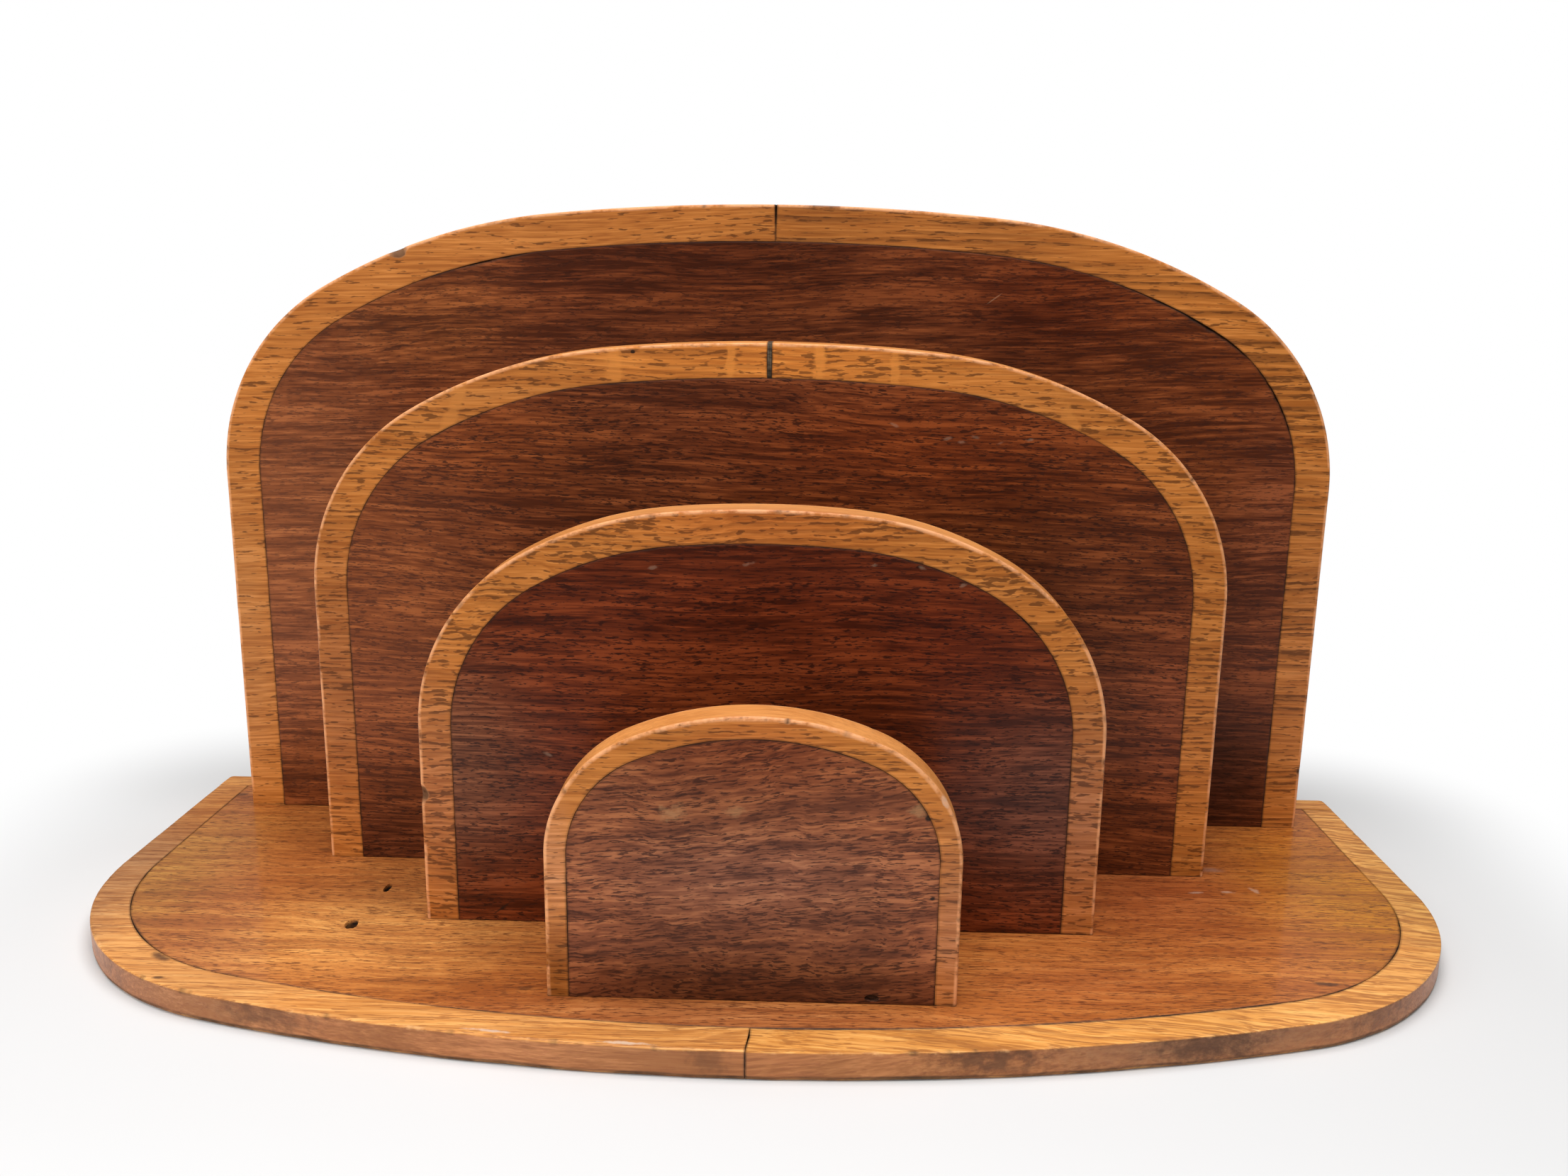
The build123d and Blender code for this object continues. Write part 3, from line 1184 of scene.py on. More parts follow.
@dataclass(frozen=True)
class WoodFinish:
    """A varnished wood. Colours are linear, and lengths are in millimetres but for the relief.

    The tone steps are the tones of the streaks where the dark, middle and light colours stand, and the
    side steps do the same for the outer edge.
    """

    name: str
    slot: Slot
    dark: Colour
    middle: Colour
    light: Colour
    pore: Colour
    bare_and_highlight: Colour
    fleck: Colour = (0.5, 0.3, 0.1)
    ring: Colour = (0.3, 0.1, 0.03)
    side: Colour = (0.3, 0.12, 0.04)
    side_dark: Colour = (0.2, 0.08, 0.025)
    grime_and_shadow: Colour = (0.022, 0.011, 0.006)
    tone_steps: tuple[float, float, float] = (0.41, 0.50, 0.59)
    side_steps: Pair = (0.42, 0.57)
    broad: Pair = (90.0, 8.0)
    fine: Pair = (26.0, 1.3)
    hair_scale: float = 0.35
    dash: Pair = (2.8, 0.42)
    pore_amount: float = 0.75
    pore_strength: float = 0.75
    fleck_strength: float = 0.5
    fleck_clears: float = 0.85
    waver: float = 9.0
    broad_share: float = 0.26
    hair_share: float = 0.36
    wear: float = 0.6
    bare_and_highlight_strength: float = 0.8
    joint_dirt: float = 1.25
    break_dirt: float = 0.8
    side_stain: float = 0.0
    cloudy: float = 0.5
    rough: Pair = (0.34, 0.5)
    dirt_rough: float = 0.35
    specular: float = 0.25
    ior: float = 1.45
    coat: float = 0.06
    coat_rough: float = 0.15
    pore_rough: float = 0.3
    bump: float = 0.3
    relief: float = 0.12 * MM
    streak_relief: float = 0.8
    wave_relief: float = 1.2

    def grain(self, surface: Surface) -> tuple[bpy.types.NodeSocket, ...]:
        """Lays out the wood itself.

        Args:
            surface: the surface that it covers.

        Returns:
            The colour, the pores and the tone of the streaks.
        """
        graph, figure, effects = surface.graph, surface.figure, surface.effects
        place = surface.in_plank()
        bend = graph.use(effects.bend, {
            "Place": place, "Waver": self.waver * figure.waver, "Curl": figure.curl})
        place = graph.vector("ADD", place, graph.join(0.0, bend, bend))

        def streak(length: float, width: float, seed: float) -> bpy.types.NodeSocket:
            """Streaks of one length and width."""
            return graph.use(effects.streaks, {
                "Place": place, "Length": length, "Width": width, "Seed": figure.seed + seed})

        fine_share = 1 - self.broad_share - self.hair_share
        hair = streak(self.fine[0] * self.hair_scale, self.fine[1] * self.hair_scale, HAIR_SEED)
        tone = graph.math("MULTIPLY", streak(*self.broad, 0.0), self.broad_share)
        tone = graph.math("MULTIPLY_ADD", streak(*self.fine, FINE_SEED), fine_share, tone)
        tone = graph.math("MULTIPLY_ADD", hair, self.hair_share, tone)
        colour = graph.mix(graph.smooth(tone, *self.tone_steps[:2]), self.dark, self.middle)
        colour = graph.mix(graph.smooth(tone, *self.tone_steps[1:]), colour, self.light)
        ring: Source = 0.0
        if figure.rings:
            ring = graph.math("MULTIPLY", graph.use(effects.rings, {
                "Place": place, "Spacing": figure.ring_step, "Seed": figure.seed}), figure.rings)
            colour = graph.mix(ring, colour, self.ring)
        length, width = figure.dash or self.dash
        pores = graph.use(effects.pores, {
            "Place": place, "Length": length, "Width": width, "Seed": figure.seed + PORE_SEED,
            "Amount": self.pore_amount * figure.pores, "Ring": ring})
        for fleck in figure.rays:
            mask = fleck.mask(surface)
            colour = graph.mix(graph.math("MULTIPLY", mask, self.fleck_strength), colour, self.fleck)
            pores = graph.math("MULTIPLY", pores, graph.math("MULTIPLY_ADD", mask, -self.fleck_clears, 1.0))
        shade = graph.math("MULTIPLY", pores, self.pore_strength * figure.pore_depth)
        colour = graph.mix(shade, colour, self.pore)
        return graph.vector("MULTIPLY", colour, figure.tone), pores, tone

    def age(self, surface: Surface, colour: Source, tone: Source) -> bpy.types.NodeSocket:
        """Lays clouds, the stain of the outer edge and the piece's own marks over the wood; many of the marks
        are painted light, shade and reflection.

        Args:
            surface: the surface that the wood covers.
            colour: colour of the wood.
            tone: tone of its streaks.

        Returns:
            The new colour.
        """
        graph = surface.graph
        blotch = graph.noise(surface.point, scale=0.021, detail=2.0)
        cloud = graph.math("MULTIPLY_ADD", graph.math("SUBTRACT", blotch, 0.5), self.cloudy, 1.0)
        colour = graph.mix(1.0, colour, cloud, Blend.TINT.value)
        if self.side_stain:
            share = graph.math("MULTIPLY_ADD", blotch, 0.5, graph.math("MULTIPLY", tone, 0.5))
            edge = graph.mix(graph.smooth(share, *self.side_steps), self.side_dark, self.side)
            stained = graph.math("MULTIPLY", graph.attribute("side"), self.side_stain)
            colour = graph.mix(stained, colour, edge)
        for mark in surface.figure.marks:
            mask = graph.math("MULTIPLY", mark.mask(surface), mark.strength)
            if mark.edge_only:
                mask = graph.math("MULTIPLY", mask, graph.attribute("side"))
            colour = graph.mix(mask, colour, mark.colour, mark.blend.value)
        return colour

    def raise_grain(self, surface: Surface, pores: Source, tone: Source) -> bpy.types.NodeSocket:
        """Normal of the surface, with sunk pores, raised streaks and slow waves in the varnish.

        Args:
            surface: the surface that the wood covers.
            pores: mask of the pores.
            tone: tone of the streaks.

        Returns:
            The normal.
        """
        graph = surface.graph
        height = graph.math("MULTIPLY_ADD", pores, -1.0, graph.math("MULTIPLY", tone, self.streak_relief))
        waves = graph.noise(surface.point, scale=0.06, detail=2.0)
        bump = graph.node("ShaderNodeBump")
        bump.inputs["Strength"].default_value = self.bump
        bump.inputs["Distance"].default_value = self.relief
        graph.feed(bump.inputs["Height"], graph.math("MULTIPLY_ADD", waves, self.wave_relief, height))
        return bump.outputs["Normal"]

    def dress(self, piece: str, board: Board, figure: Figure, effects: Effects) -> bpy.types.Material:
        """Makes the material of one piece.

        Args:
            piece: name of the piece.
            board: the board that it belongs to, whose show face carries the marks.
            figure: how the piece was cut and what has happened to it.
            effects: the shared node groups.

        Returns:
            The new material.
        """
        material = bpy.data.materials.new(f"{self.name}_{piece}")
        material.use_nodes = True
        graph = Graph(material.node_tree)
        shader = material.node_tree.nodes["Principled BSDF"]
        point = graph.millimetres()
        surface = Surface(graph, point, board, figure, effects)
        colour, pores, tone = self.grain(surface)
        colour = self.age(surface, colour, tone)
        # Rubbed arrises take the pale bare colour: worn wood and a painted highlight line together
        rubbed_and_highlight = graph.use(effects.wear, {
            "Place": point, "Wear and highlight": graph.attribute("wear"), "Amount": self.wear,
            "Seed": figure.seed * RUB_AND_HIGHLIGHT_SEED})
        colour = graph.mix(graph.math("MULTIPLY", rubbed_and_highlight, self.bare_and_highlight_strength), colour, self.bare_and_highlight)
        # Glue, dirt and broken places take the grime colour, and so does the painted contact shadow at the
        # base's foot
        darkening = graph.use(effects.grime_and_shadow, {
            "Place": point, "Glue": graph.attribute("glue"), "Amount": self.joint_dirt})
        broken = graph.math("MULTIPLY", graph.attribute("broken"), self.break_dirt)
        darkening = graph.math("MAXIMUM", darkening, broken)
        graph.feed(shader.inputs["Base Color"], graph.mix(darkening, colour, self.grime_and_shadow))

        dull = graph.noise(point, scale=0.045, detail=4.0, rough=0.65)
        dull = graph.math("MULTIPLY", dull, 1 - self.pore_rough)
        dull = graph.math("ADD", dull, graph.math("MULTIPLY", pores, self.pore_rough))
        rough = graph.math("MULTIPLY_ADD", dull, self.rough[1] - self.rough[0], self.rough[0])
        rough = graph.math("MULTIPLY_ADD", darkening, self.dirt_rough, rough, clamp=True)
        graph.feed(shader.inputs["Roughness"], rough)
        coat = graph.math("MULTIPLY", graph.math("SUBTRACT", 1.0, rubbed_and_highlight), self.coat)
        graph.feed(shader.inputs["Coat Weight"], coat)
        for name, value in (("Coat Roughness", self.coat_rough), ("IOR", self.ior),
                            ("Specular IOR Level", self.specular)):
            shader.inputs[name].default_value = value
        graph.feed(shader.inputs["Normal"], self.raise_grain(surface, pores, tone))
        return material


@dataclass(frozen=True)
class SteelFinish:
    """Dulled steel of the screws, brushed by turning and specked with rust."""

    colour: Colour = (0.42, 0.41, 0.39)
    stain: Colour = (0.16, 0.075, 0.035)
    rough: Pair = (0.32, 0.6)
    brushing: Place = (0.6, 9.0, 0.6)
    rust_steps: Pair = (0.5, 0.68)
    rust_dulls: float = 0.8
    rust_rough: float = 0.25

    def dress(self, name: str) -> bpy.types.Material:
        """Makes the material.

        Args:
            name: name of the material.

        Returns:
            The new material.
        """
        material = bpy.data.materials.new(name)
        material.use_nodes = True
        graph = Graph(material.node_tree)
        shader = material.node_tree.nodes["Principled BSDF"]
        point = graph.millimetres()
        spots = graph.smooth(graph.noise(point, scale=0.9, detail=4.0, rough=0.7), *self.rust_steps)
        brushed = graph.noise(graph.vector("MULTIPLY", point, self.brushing), detail=3.0)
        graph.feed(shader.inputs["Base Color"], graph.mix(spots, self.colour, self.stain))
        clean = graph.math("SUBTRACT", 1.0, graph.math("MULTIPLY", spots, self.rust_dulls))
        graph.feed(shader.inputs["Metallic"], clean)
        rough = graph.math("MULTIPLY_ADD", brushed, self.rough[1] - self.rough[0], self.rough[0])
        rough = graph.math("MULTIPLY_ADD", spots, self.rust_rough, rough, clamp=True)
        graph.feed(shader.inputs["Roughness"], rough)
        return material


PANEL_MAHOGANY = WoodFinish(
    name="panel_mahogany", slot=Slot.MAHOGANY, dark=(0.070, 0.0150, 0.0042), middle=(0.150, 0.0345, 0.0088),
    light=(0.275, 0.071, 0.0185), pore=(0.038, 0.0095, 0.0040), bare_and_highlight=(0.36, 0.13, 0.05), broad=(110.0, 9.0),
    fine=(24.0, 1.2), dash=(2.1, 0.36), pore_amount=0.74, pore_strength=0.66, broad_share=0.26,
    hair_share=0.33)
CURLY_MAHOGANY = WoodFinish(
    name="curly_mahogany", slot=Slot.MAHOGANY, dark=(0.120, 0.033, 0.0130), middle=(0.232, 0.069, 0.0260),
    light=(0.380, 0.128, 0.0470), pore=(0.056, 0.0160, 0.0080), bare_and_highlight=(0.36, 0.13, 0.05), broad=(50.0, 5.0),
    fine=(15.0, 1.5), dash=(2.9, 0.36), pore_amount=0.82, pore_strength=0.86, broad_share=0.34,
    hair_share=0.29, cloudy=0.9)
BASE_MAHOGANY = WoodFinish(
    name="base_mahogany", slot=Slot.MAHOGANY, dark=(0.34, 0.090, 0.018), middle=(0.46, 0.138, 0.028),
    light=(0.58, 0.200, 0.045), pore=(0.17, 0.044, 0.010), bare_and_highlight=(0.62, 0.30, 0.12), broad=(100.0, 7.0),
    fine=(34.0, 1.6), dash=(2.8, 0.30), pore_amount=0.82, pore_strength=0.95, broad_share=0.32,
    hair_share=0.34, specular=0.3, coat=0.24, coat_rough=0.1)
# The pale bare colour and high wear on the band arrises paint a bright highlight line along them as well as
# worn wood
PANEL_OAK = WoodFinish(
    name="panel_oak", slot=Slot.OAK, dark=(0.41, 0.124, 0.021), middle=(0.55, 0.185, 0.034),
    light=(0.68, 0.25, 0.054), pore=(0.150, 0.047, 0.0100), bare_and_highlight=(0.90, 0.42, 0.19),
    fleck=(0.66, 0.245, 0.05), ring=(0.26, 0.082, 0.016), side=(0.82, 0.35, 0.105),
    side_dark=(0.64, 0.24, 0.060), broad=(110.0, 5.0), fine=(30.0, 1.0), dash=(4.4, 0.5), pore_amount=0.67,
    pore_strength=0.82, waver=5.0, wear=0.78, side_stain=0.78)
BASE_OAK = WoodFinish(
    name="base_oak", slot=Slot.OAK, dark=(0.56, 0.20, 0.040), middle=(0.74, 0.30, 0.070),
    light=(0.86, 0.40, 0.11), pore=(0.36, 0.12, 0.028), bare_and_highlight=(0.86, 0.46, 0.19), ring=(0.43, 0.145, 0.031),
    side=(0.45, 0.158, 0.057), side_dark=(0.26, 0.086, 0.029), broad=(110.0, 4.5), fine=(30.0, 0.9),
    dash=(5.0, 0.45), pore_amount=0.62, pore_strength=0.72, waver=6.0, wear=0.4, side_stain=0.85,
    specular=0.3, coat=0.12)
SLIP_WOOD = WoodFinish(
    name="slip_wood", slot=Slot.DARK_SLIP, dark=(0.036, 0.024, 0.014), middle=(0.080, 0.056, 0.035),
    light=(0.13, 0.095, 0.062), pore=(0.03, 0.018, 0.012), bare_and_highlight=(0.20, 0.15, 0.11))


@dataclass
class WoodPiece:
    """A wooden piece of the rack, which stands for one node of the frame."""

    node: str
    shape: Slab | BandPiece
    wood: WoodFinish
    figure: Figure
    solid: bpy.types.Object = field(init=False)

    def build(self) -> None:
        """Makes the piece in place of its node."""
        self.solid = self.shape.build(f"{self.node}_wood").finish()
        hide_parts(self.node)
        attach(self.solid, ROOT_BODY)
        LOG.info("%s: %d faces, stands for %s", self.solid.name, len(self.solid.data.polygons), self.node)

    def dress(self, effects: Effects) -> None:
        """Gives the piece its wood.

        Args:
            effects: the shared node groups.
        """
        material = self.wood.dress(self.node, self.shape.board, self.figure, effects)
        self.solid.data.materials.append(material)


class WoodAssembly:
    """A board of the rack, put together from wooden pieces."""

    pieces: list[WoodPiece]

    def build(self) -> None:
        """Makes every piece."""
        for piece in self.pieces:
            piece.build()

    def dress(self, effects: Effects) -> None:
        """Gives every piece its wood."""
        for piece in self.pieces:
            piece.dress(effects)


@dataclass(frozen=True)
class Arch:
    """A five-centred arch: round shoulders, flatter haunches and a nearly flat crown.

    The haunch turns from the crown to its own angle from the vertical, given in degrees.
    """

    shoulder: float
    haunch: float
    haunch_turn: float
    crown: float

    def outline(self, half: float, foot: float, top: float) -> Outline:
        """Draws the arch with its straight legs, from the left foot to the right.

        Args:
            half: half of the arch's width.
            foot: height of its feet.
            top: height of its crown.

        Returns:
            The outline.
        """
        turn = math.pi / 2 - math.radians(self.haunch_turn)
        spread = half - self.shoulder - (self.haunch - self.shoulder) * math.cos(turn)
        meet = math.acos(spread / (self.crown - self.haunch))
        crown = Vector((0.0, top - self.crown))
        haunch = crown + (self.crown - self.haunch) * Vector((math.cos(meet), math.sin(meet)))
        shoulder = haunch + (self.haunch - self.shoulder) * Vector((math.cos(turn), math.sin(turn)))
        other = Vector((-1.0, 1.0))
        return Outline((
            Straight(Vector((-half, foot)), Vector((-half, shoulder.y)), Vector((-1, 0))),
            Arc(shoulder * other, self.shoulder, math.pi, math.pi - turn),
            Arc(haunch * other, self.haunch, math.pi - turn, math.pi - meet),
            Arc(crown, self.crown, math.pi - meet, meet),
            Arc(haunch, self.haunch, meet, turn),
            Arc(shoulder, self.shoulder, turn, 0.0),
            Straight(Vector((half, shoulder.y)), Vector((half, foot)), Vector((1, 0)))))


@dataclass
class Panel(WoodAssembly):
    """An upright arched panel: a core inside a band of one or two pieces."""

    name: str
    arch: Arch
    core_figure: Figure
    band_figures: tuple[Figure, ...]
    joint: float = 0.0
    joint_open: float = 0.0
    joint_inner: float = 0.04 * MM
    joint_deep: float = 0.01 * MM
    wood: WoodFinish = PANEL_MAHOGANY
    show_arris: Arris = Arris(0.5 * MM)
    back_radius: float = 0.45 * MM
    gaps: tuple[Chip, ...] = ()
    gap_seed: float = 3.3
    pits: tuple[Pit, ...] = ()
    slip_figure: Figure = Figure(seed=2.0)
    board: Board = field(init=False)
    band: float = field(init=False)
    pieces: list[WoodPiece] = field(init=False)

    def __post_init__(self) -> None:
        """Reads the sizes of the panel from the frame and lays out its pieces."""
        core_low, core_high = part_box(f"{self.name}_core")
        highs = [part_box(node)[1] for node in self.band_nodes()]
        half = max(high[0] for high in highs)
        top = max(high[2] for high in highs)
        self.band = half - core_high[0]
        outline = self.arch.outline(half, core_low[2], top)
        self.board = Board(outline, Lie.FRONT, core_low[1], core_high[1] - core_low[1])
        self.pieces = [self.core(), *self.bands()]
        if self.joint:
            self.pieces.append(self.slip(f"{self.name}_joint_slip"))

    def band_nodes(self) -> list[str]:
        """Names of the CAD nodes of the band.

        Returns:
            One name for a band in one piece, or two.
        """
        if len(self.band_figures) == 1:
            return [f"{self.name}_band"]
        return [f"{self.name}_band_left", f"{self.name}_band_right"]

    def core(self) -> WoodPiece:
        """The core, with a glue groove round it that is open in places.

        Returns:
            The piece.
        """
        outline = self.board.outline
        stations = outline.stations()
        corners = tuple(outline.inset(along, self.band) for along in stations)
        groove = GlueGroove(self.arch.crown / MM, self.gap_seed, self.gaps)
        shape = Slab(self.board, corners, groove.sizes(outline, stations), pits=self.pits)
        return WoodPiece(f"{self.name}_core", shape, self.wood, self.core_figure)

    def bands(self) -> list[WoodPiece]:
        """The band, in one piece or in two that meet at the crown.

        Returns:
            Its pieces, from left to right.
        """
        whole = self.board.outline.length
        middle = whole / 2
        back_arris = Arris(self.back_radius, seed=self.show_arris.seed + BACK_SEED)
        spans = [(Cut.square(0.0), Cut.square(whole))]
        if len(self.band_figures) == 2:
            gaps = [self.joint / 2 + gap for gap in (self.joint_open / 2, self.joint_inner, self.joint_deep)]
            spans = [(Cut.square(0.0), Cut(*(middle - gap for gap in gaps))),
                     (Cut(*(middle + gap for gap in gaps)), Cut.square(whole))]
        pieces = []
        for node, (begin, end), figure in zip(self.band_nodes(), spans, self.band_figures):
            shape = BandPiece(self.board, self.band, begin, end, self.show_arris, back_arris)
            pieces.append(WoodPiece(node, shape, PANEL_OAK, figure))
        return pieces

    def slip(self, node: str) -> WoodPiece:
        """The slip of dark wood that fills the crown joint.

        Args:
            node: CAD node that it stands for.

        Returns:
            The piece.
        """
        low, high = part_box(node)
        corners = tuple(Vector(pair) for pair in (
            (low[0], low[2]), (high[0], low[2]), (high[0], high[2]), (low[0], high[2])))
        shape = Slab(self.board, corners, lambda index: JOINT_RIM, glued=False)
        return WoodPiece(node, shape, SLIP_WOOD, self.slip_figure)


# Each panel's core, the band piece that reaches its right side, and the number of screws under it
SCREWED = (("rear_panel_core", "rear_panel_band_right", 3),
           ("second_panel_core", "second_panel_band_right", 3),
           ("third_panel_core", "third_panel_band", 2),
           ("front_panel_core", "front_panel_band", 2))


@dataclass
class BaseBoard(WoodAssembly):
    """The flat bow-fronted board that the panels stand on."""

    core_figure: Figure
    left_figure: Figure
    right_figure: Figure
    rear_figure: Figure
    front_radius: float = 447 * MM
    corner_radius: float = 66.5 * MM
    rear_corner_radius: float = 1.5 * MM
    joint_slant: float = 0.6 * MM
    joint_open: float = 0.1 * MM
    right_drop: float = 0.2 * MM
    # Painted contact shadow along the foot of the bands, where the base meets the floor
    painted_foot_shadow: float = 0.7
    show_arris: Arris = Arris(0.5 * MM, nibble=0.35 * MM, seed=31.0)
    back_radius: float = 0.9 * MM
    gaps: tuple[Chip, ...] = ()
    groove_seed: float = 7.7
    gap_seed: float = 4.4
    pits: tuple[Pit, ...] = ()
    screw_inset: float = 24 * MM
    screw_mouth: float = 3.1 * MM
    screw_shank: float = 1.6 * MM
    seat_corners: int = 40
    seat_dirt: float = 0.3
    corner_steps: int = 6
    board: Board = field(init=False)
    band: float = field(init=False)
    pieces: list[WoodPiece] = field(init=False)
    strip_line: float = field(init=False)
    rear_half: float = field(init=False)
    rear_line: float = field(init=False)

    def __post_init__(self) -> None:
        """Reads the sizes of the board from the frame and lays out its pieces."""
        core_low, core_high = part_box("base_core")
        left_low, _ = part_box("base_band_left")
        strip_low, strip_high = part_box("base_band_rear")
        half = -left_low[0]
        front = left_low[1]
        self.band = core_low[1] - front
        self.strip_line = strip_low[1]
        self.rear_line = strip_high[1]
        self.rear_half = strip_high[0]
        centre = Vector((0.0, front + self.front_radius))
        reach = half - self.corner_radius
        drop = math.sqrt((self.front_radius - self.corner_radius) ** 2 - reach ** 2)
        corner = Vector((-reach, centre.y - drop))
        rear = Vector((-self.rear_half, self.rear_line))
        to_rear = rear - corner
        touch = math.atan2(to_rear.y, to_rear.x) + math.acos(self.corner_radius / to_rear.length)
        side = Vector((math.cos(touch), math.sin(touch)))
        meet = math.atan2(corner.y - centre.y, corner.x - centre.x) % math.tau
        flank = corner + self.corner_radius * side
        other = Vector((-1.0, 1.0))
        outline = Outline((
            Straight(rear, flank, side),
            Arc(corner, self.corner_radius, touch, meet),
            Arc(centre, self.front_radius, meet, 3 * math.pi - meet),
            Arc(corner * other, self.corner_radius, 3 * math.pi - meet, 3 * math.pi - touch),
            Straight(flank * other, rear * other, side * other)))
        self.board = Board(outline, Lie.UP, core_high[2], core_high[2] - core_low[2])
        self.pieces = [self.core(), *self.bands(), self.strip()]

    def core(self) -> WoodPiece:
        """The core with its worm holes, and countersunk seats for the screws beneath.

        Returns:
            The piece.
        """
        outline = self.board.outline
        inside = [(along, outline.inset(along, self.band)) for along in outline.stations()]
        inside = [(along, point) for along, point in inside if point.y < self.strip_line - RING_STEP / 2]
        stations = [inside[0][0], *(along for along, _ in inside), inside[-1][0]]
        rear_x = inside[0][1].x
        corners = (Vector((rear_x, self.strip_line)), *(point for _, point in inside),
                   Vector((-rear_x, self.strip_line)))
        groove = GlueGroove(self.groove_seed, self.gap_seed, self.gaps)
        shape = Slab(self.board, corners, groove.sizes(outline, stations), pits=self.pits,
                     back_pits=self.screw_seats())
        return WoodPiece("base_core", shape, BASE_MAHOGANY, self.core_figure)

    def screw_seats(self) -> tuple[Pit, ...]:
        """Countersunk mouths for the screws, as many under each panel as its width asks for.

        Returns:
            The mouths as pits in the underside.
        """
        seats = []
        for core, band, number in SCREWED:
            low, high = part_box(core)
            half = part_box(band)[1][0] - self.screw_inset
            for i in range(number):
                place = (half * (2 * i / (number - 1) - 1), (low[1] + high[1]) / 2)
                seats.append(Pit(place, (self.screw_mouth,) * 2, self.screw_mouth - self.screw_shank,
                                 self.screw_shank / self.screw_mouth, ragged=0.0, corners=self.seat_corners,
                                 darkening=self.seat_dirt))
        return tuple(seats)

    def bands(self) -> list[WoodPiece]:
        """The two curved bands, which meet at the front in a slanted joint.

        Returns:
            The left piece and the right one.
        """
        outline = self.board.outline
        middle = outline.length / 2
        start = next(i * SEARCH_STEP for i in count() if outline.at(i * SEARCH_STEP)[0].y <= self.strip_line)
        gap = self.joint_open / 2
        lean = self.joint_slant / 2
        left_end = Cut(middle - lean - gap, middle + lean - gap)
        right_end = Cut(middle - lean + gap, middle + lean + gap)
        back_arris = Arris(self.back_radius, seed=self.show_arris.seed + BACK_SEED)
        parts = (("base_band_left", Cut.square(start), left_end, self.left_figure, 0.0),
                 ("base_band_right", right_end, Cut.square(outline.length - start), self.right_figure,
                  self.right_drop))
        pieces = []
        for node, begin, end, figure, drop in parts:
            shape = BandPiece(self.board, self.band, begin, end, self.show_arris, back_arris, drop=drop,
                              painted_foot_shadow=self.painted_foot_shadow)
            pieces.append(WoodPiece(node, shape, BASE_OAK, figure))
        return pieces

    def strip(self) -> WoodPiece:
        """The straight strip along the rear edge.

        Returns:
            The piece.
        """
        radius = self.rear_corner_radius
        turns = [math.pi / 2 * i / self.corner_steps for i in range(self.corner_steps + 1)]
        right = [Vector((self.rear_half - radius + radius * math.cos(turn),
                         self.rear_line - radius + radius * math.sin(turn))) for turn in turns]
        outside = [*right, *(Vector((-point.x, point.y)) for point in reversed(right))]
        ends = [Vector((-self.rear_half, self.strip_line)), Vector((self.rear_half, self.strip_line))]

        def rim(index: int) -> float:
            """Softened outside, sharp along the joint."""
            return OUTER_RIM if index < len(outside) else JOINT_RIM

        shape = Slab(self.board, (*outside, *ends), rim, glued=False)
        return WoodPiece("base_band_rear", shape, BASE_OAK, self.rear_figure)


@dataclass
class Screws:
    """The screws that hold the panels from beneath, kept as the frame has them."""

    node: str = "panel_screws"
    finish: SteelFinish = SteelFinish()
    solid: bpy.types.Object = field(init=False)

    def build(self) -> None:
        """Takes the screws from the frame as they stand."""
        self.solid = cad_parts[self.node]
        LOG.info("%s: %d faces, kept as they stand", self.node, len(self.solid.data.polygons))

    def dress(self) -> None:
        """Gives the screws their steel."""
        material = self.finish.dress("screw_steel_dulled")
        if not self.solid.material_slots:
            self.solid.data.materials.append(material)
        for slot in self.solid.material_slots:
            slot.material = material


@dataclass(frozen=True)
class Lamp:
    """A soft square lamp: its place, what it looks at, its side, its power and whether polish shows it."""

    name: str
    place: Place
    target: Place
    size: float
    power: float
    mirrored: bool = False

    def hang(self) -> None:
        """Adds the lamp to the scene."""
        light = bpy.data.lights.new(self.name, "AREA")
        light.size = self.size
        light.energy = self.power
        holder = bpy.data.objects.new(self.name, light)
        holder.location = self.place
        holder.rotation_euler = (Vector(self.target) - Vector(self.place)).to_track_quat("-Z", "Y").to_euler()
        holder.visible_glossy = self.mirrored
        bpy.context.scene.collection.objects.link(holder)


def seen_rays(graph: Graph) -> tuple[bpy.types.NodeSocket, bpy.types.NodeSocket]:
    """Masks of the rays that come straight from the camera, and of those that come off polish."""
    path = graph.node("ShaderNodeLightPath").outputs
    return graph.math("MAXIMUM", path["Is Camera Ray"], path["Is Transmission Ray"]), path["Is Glossy Ray"]


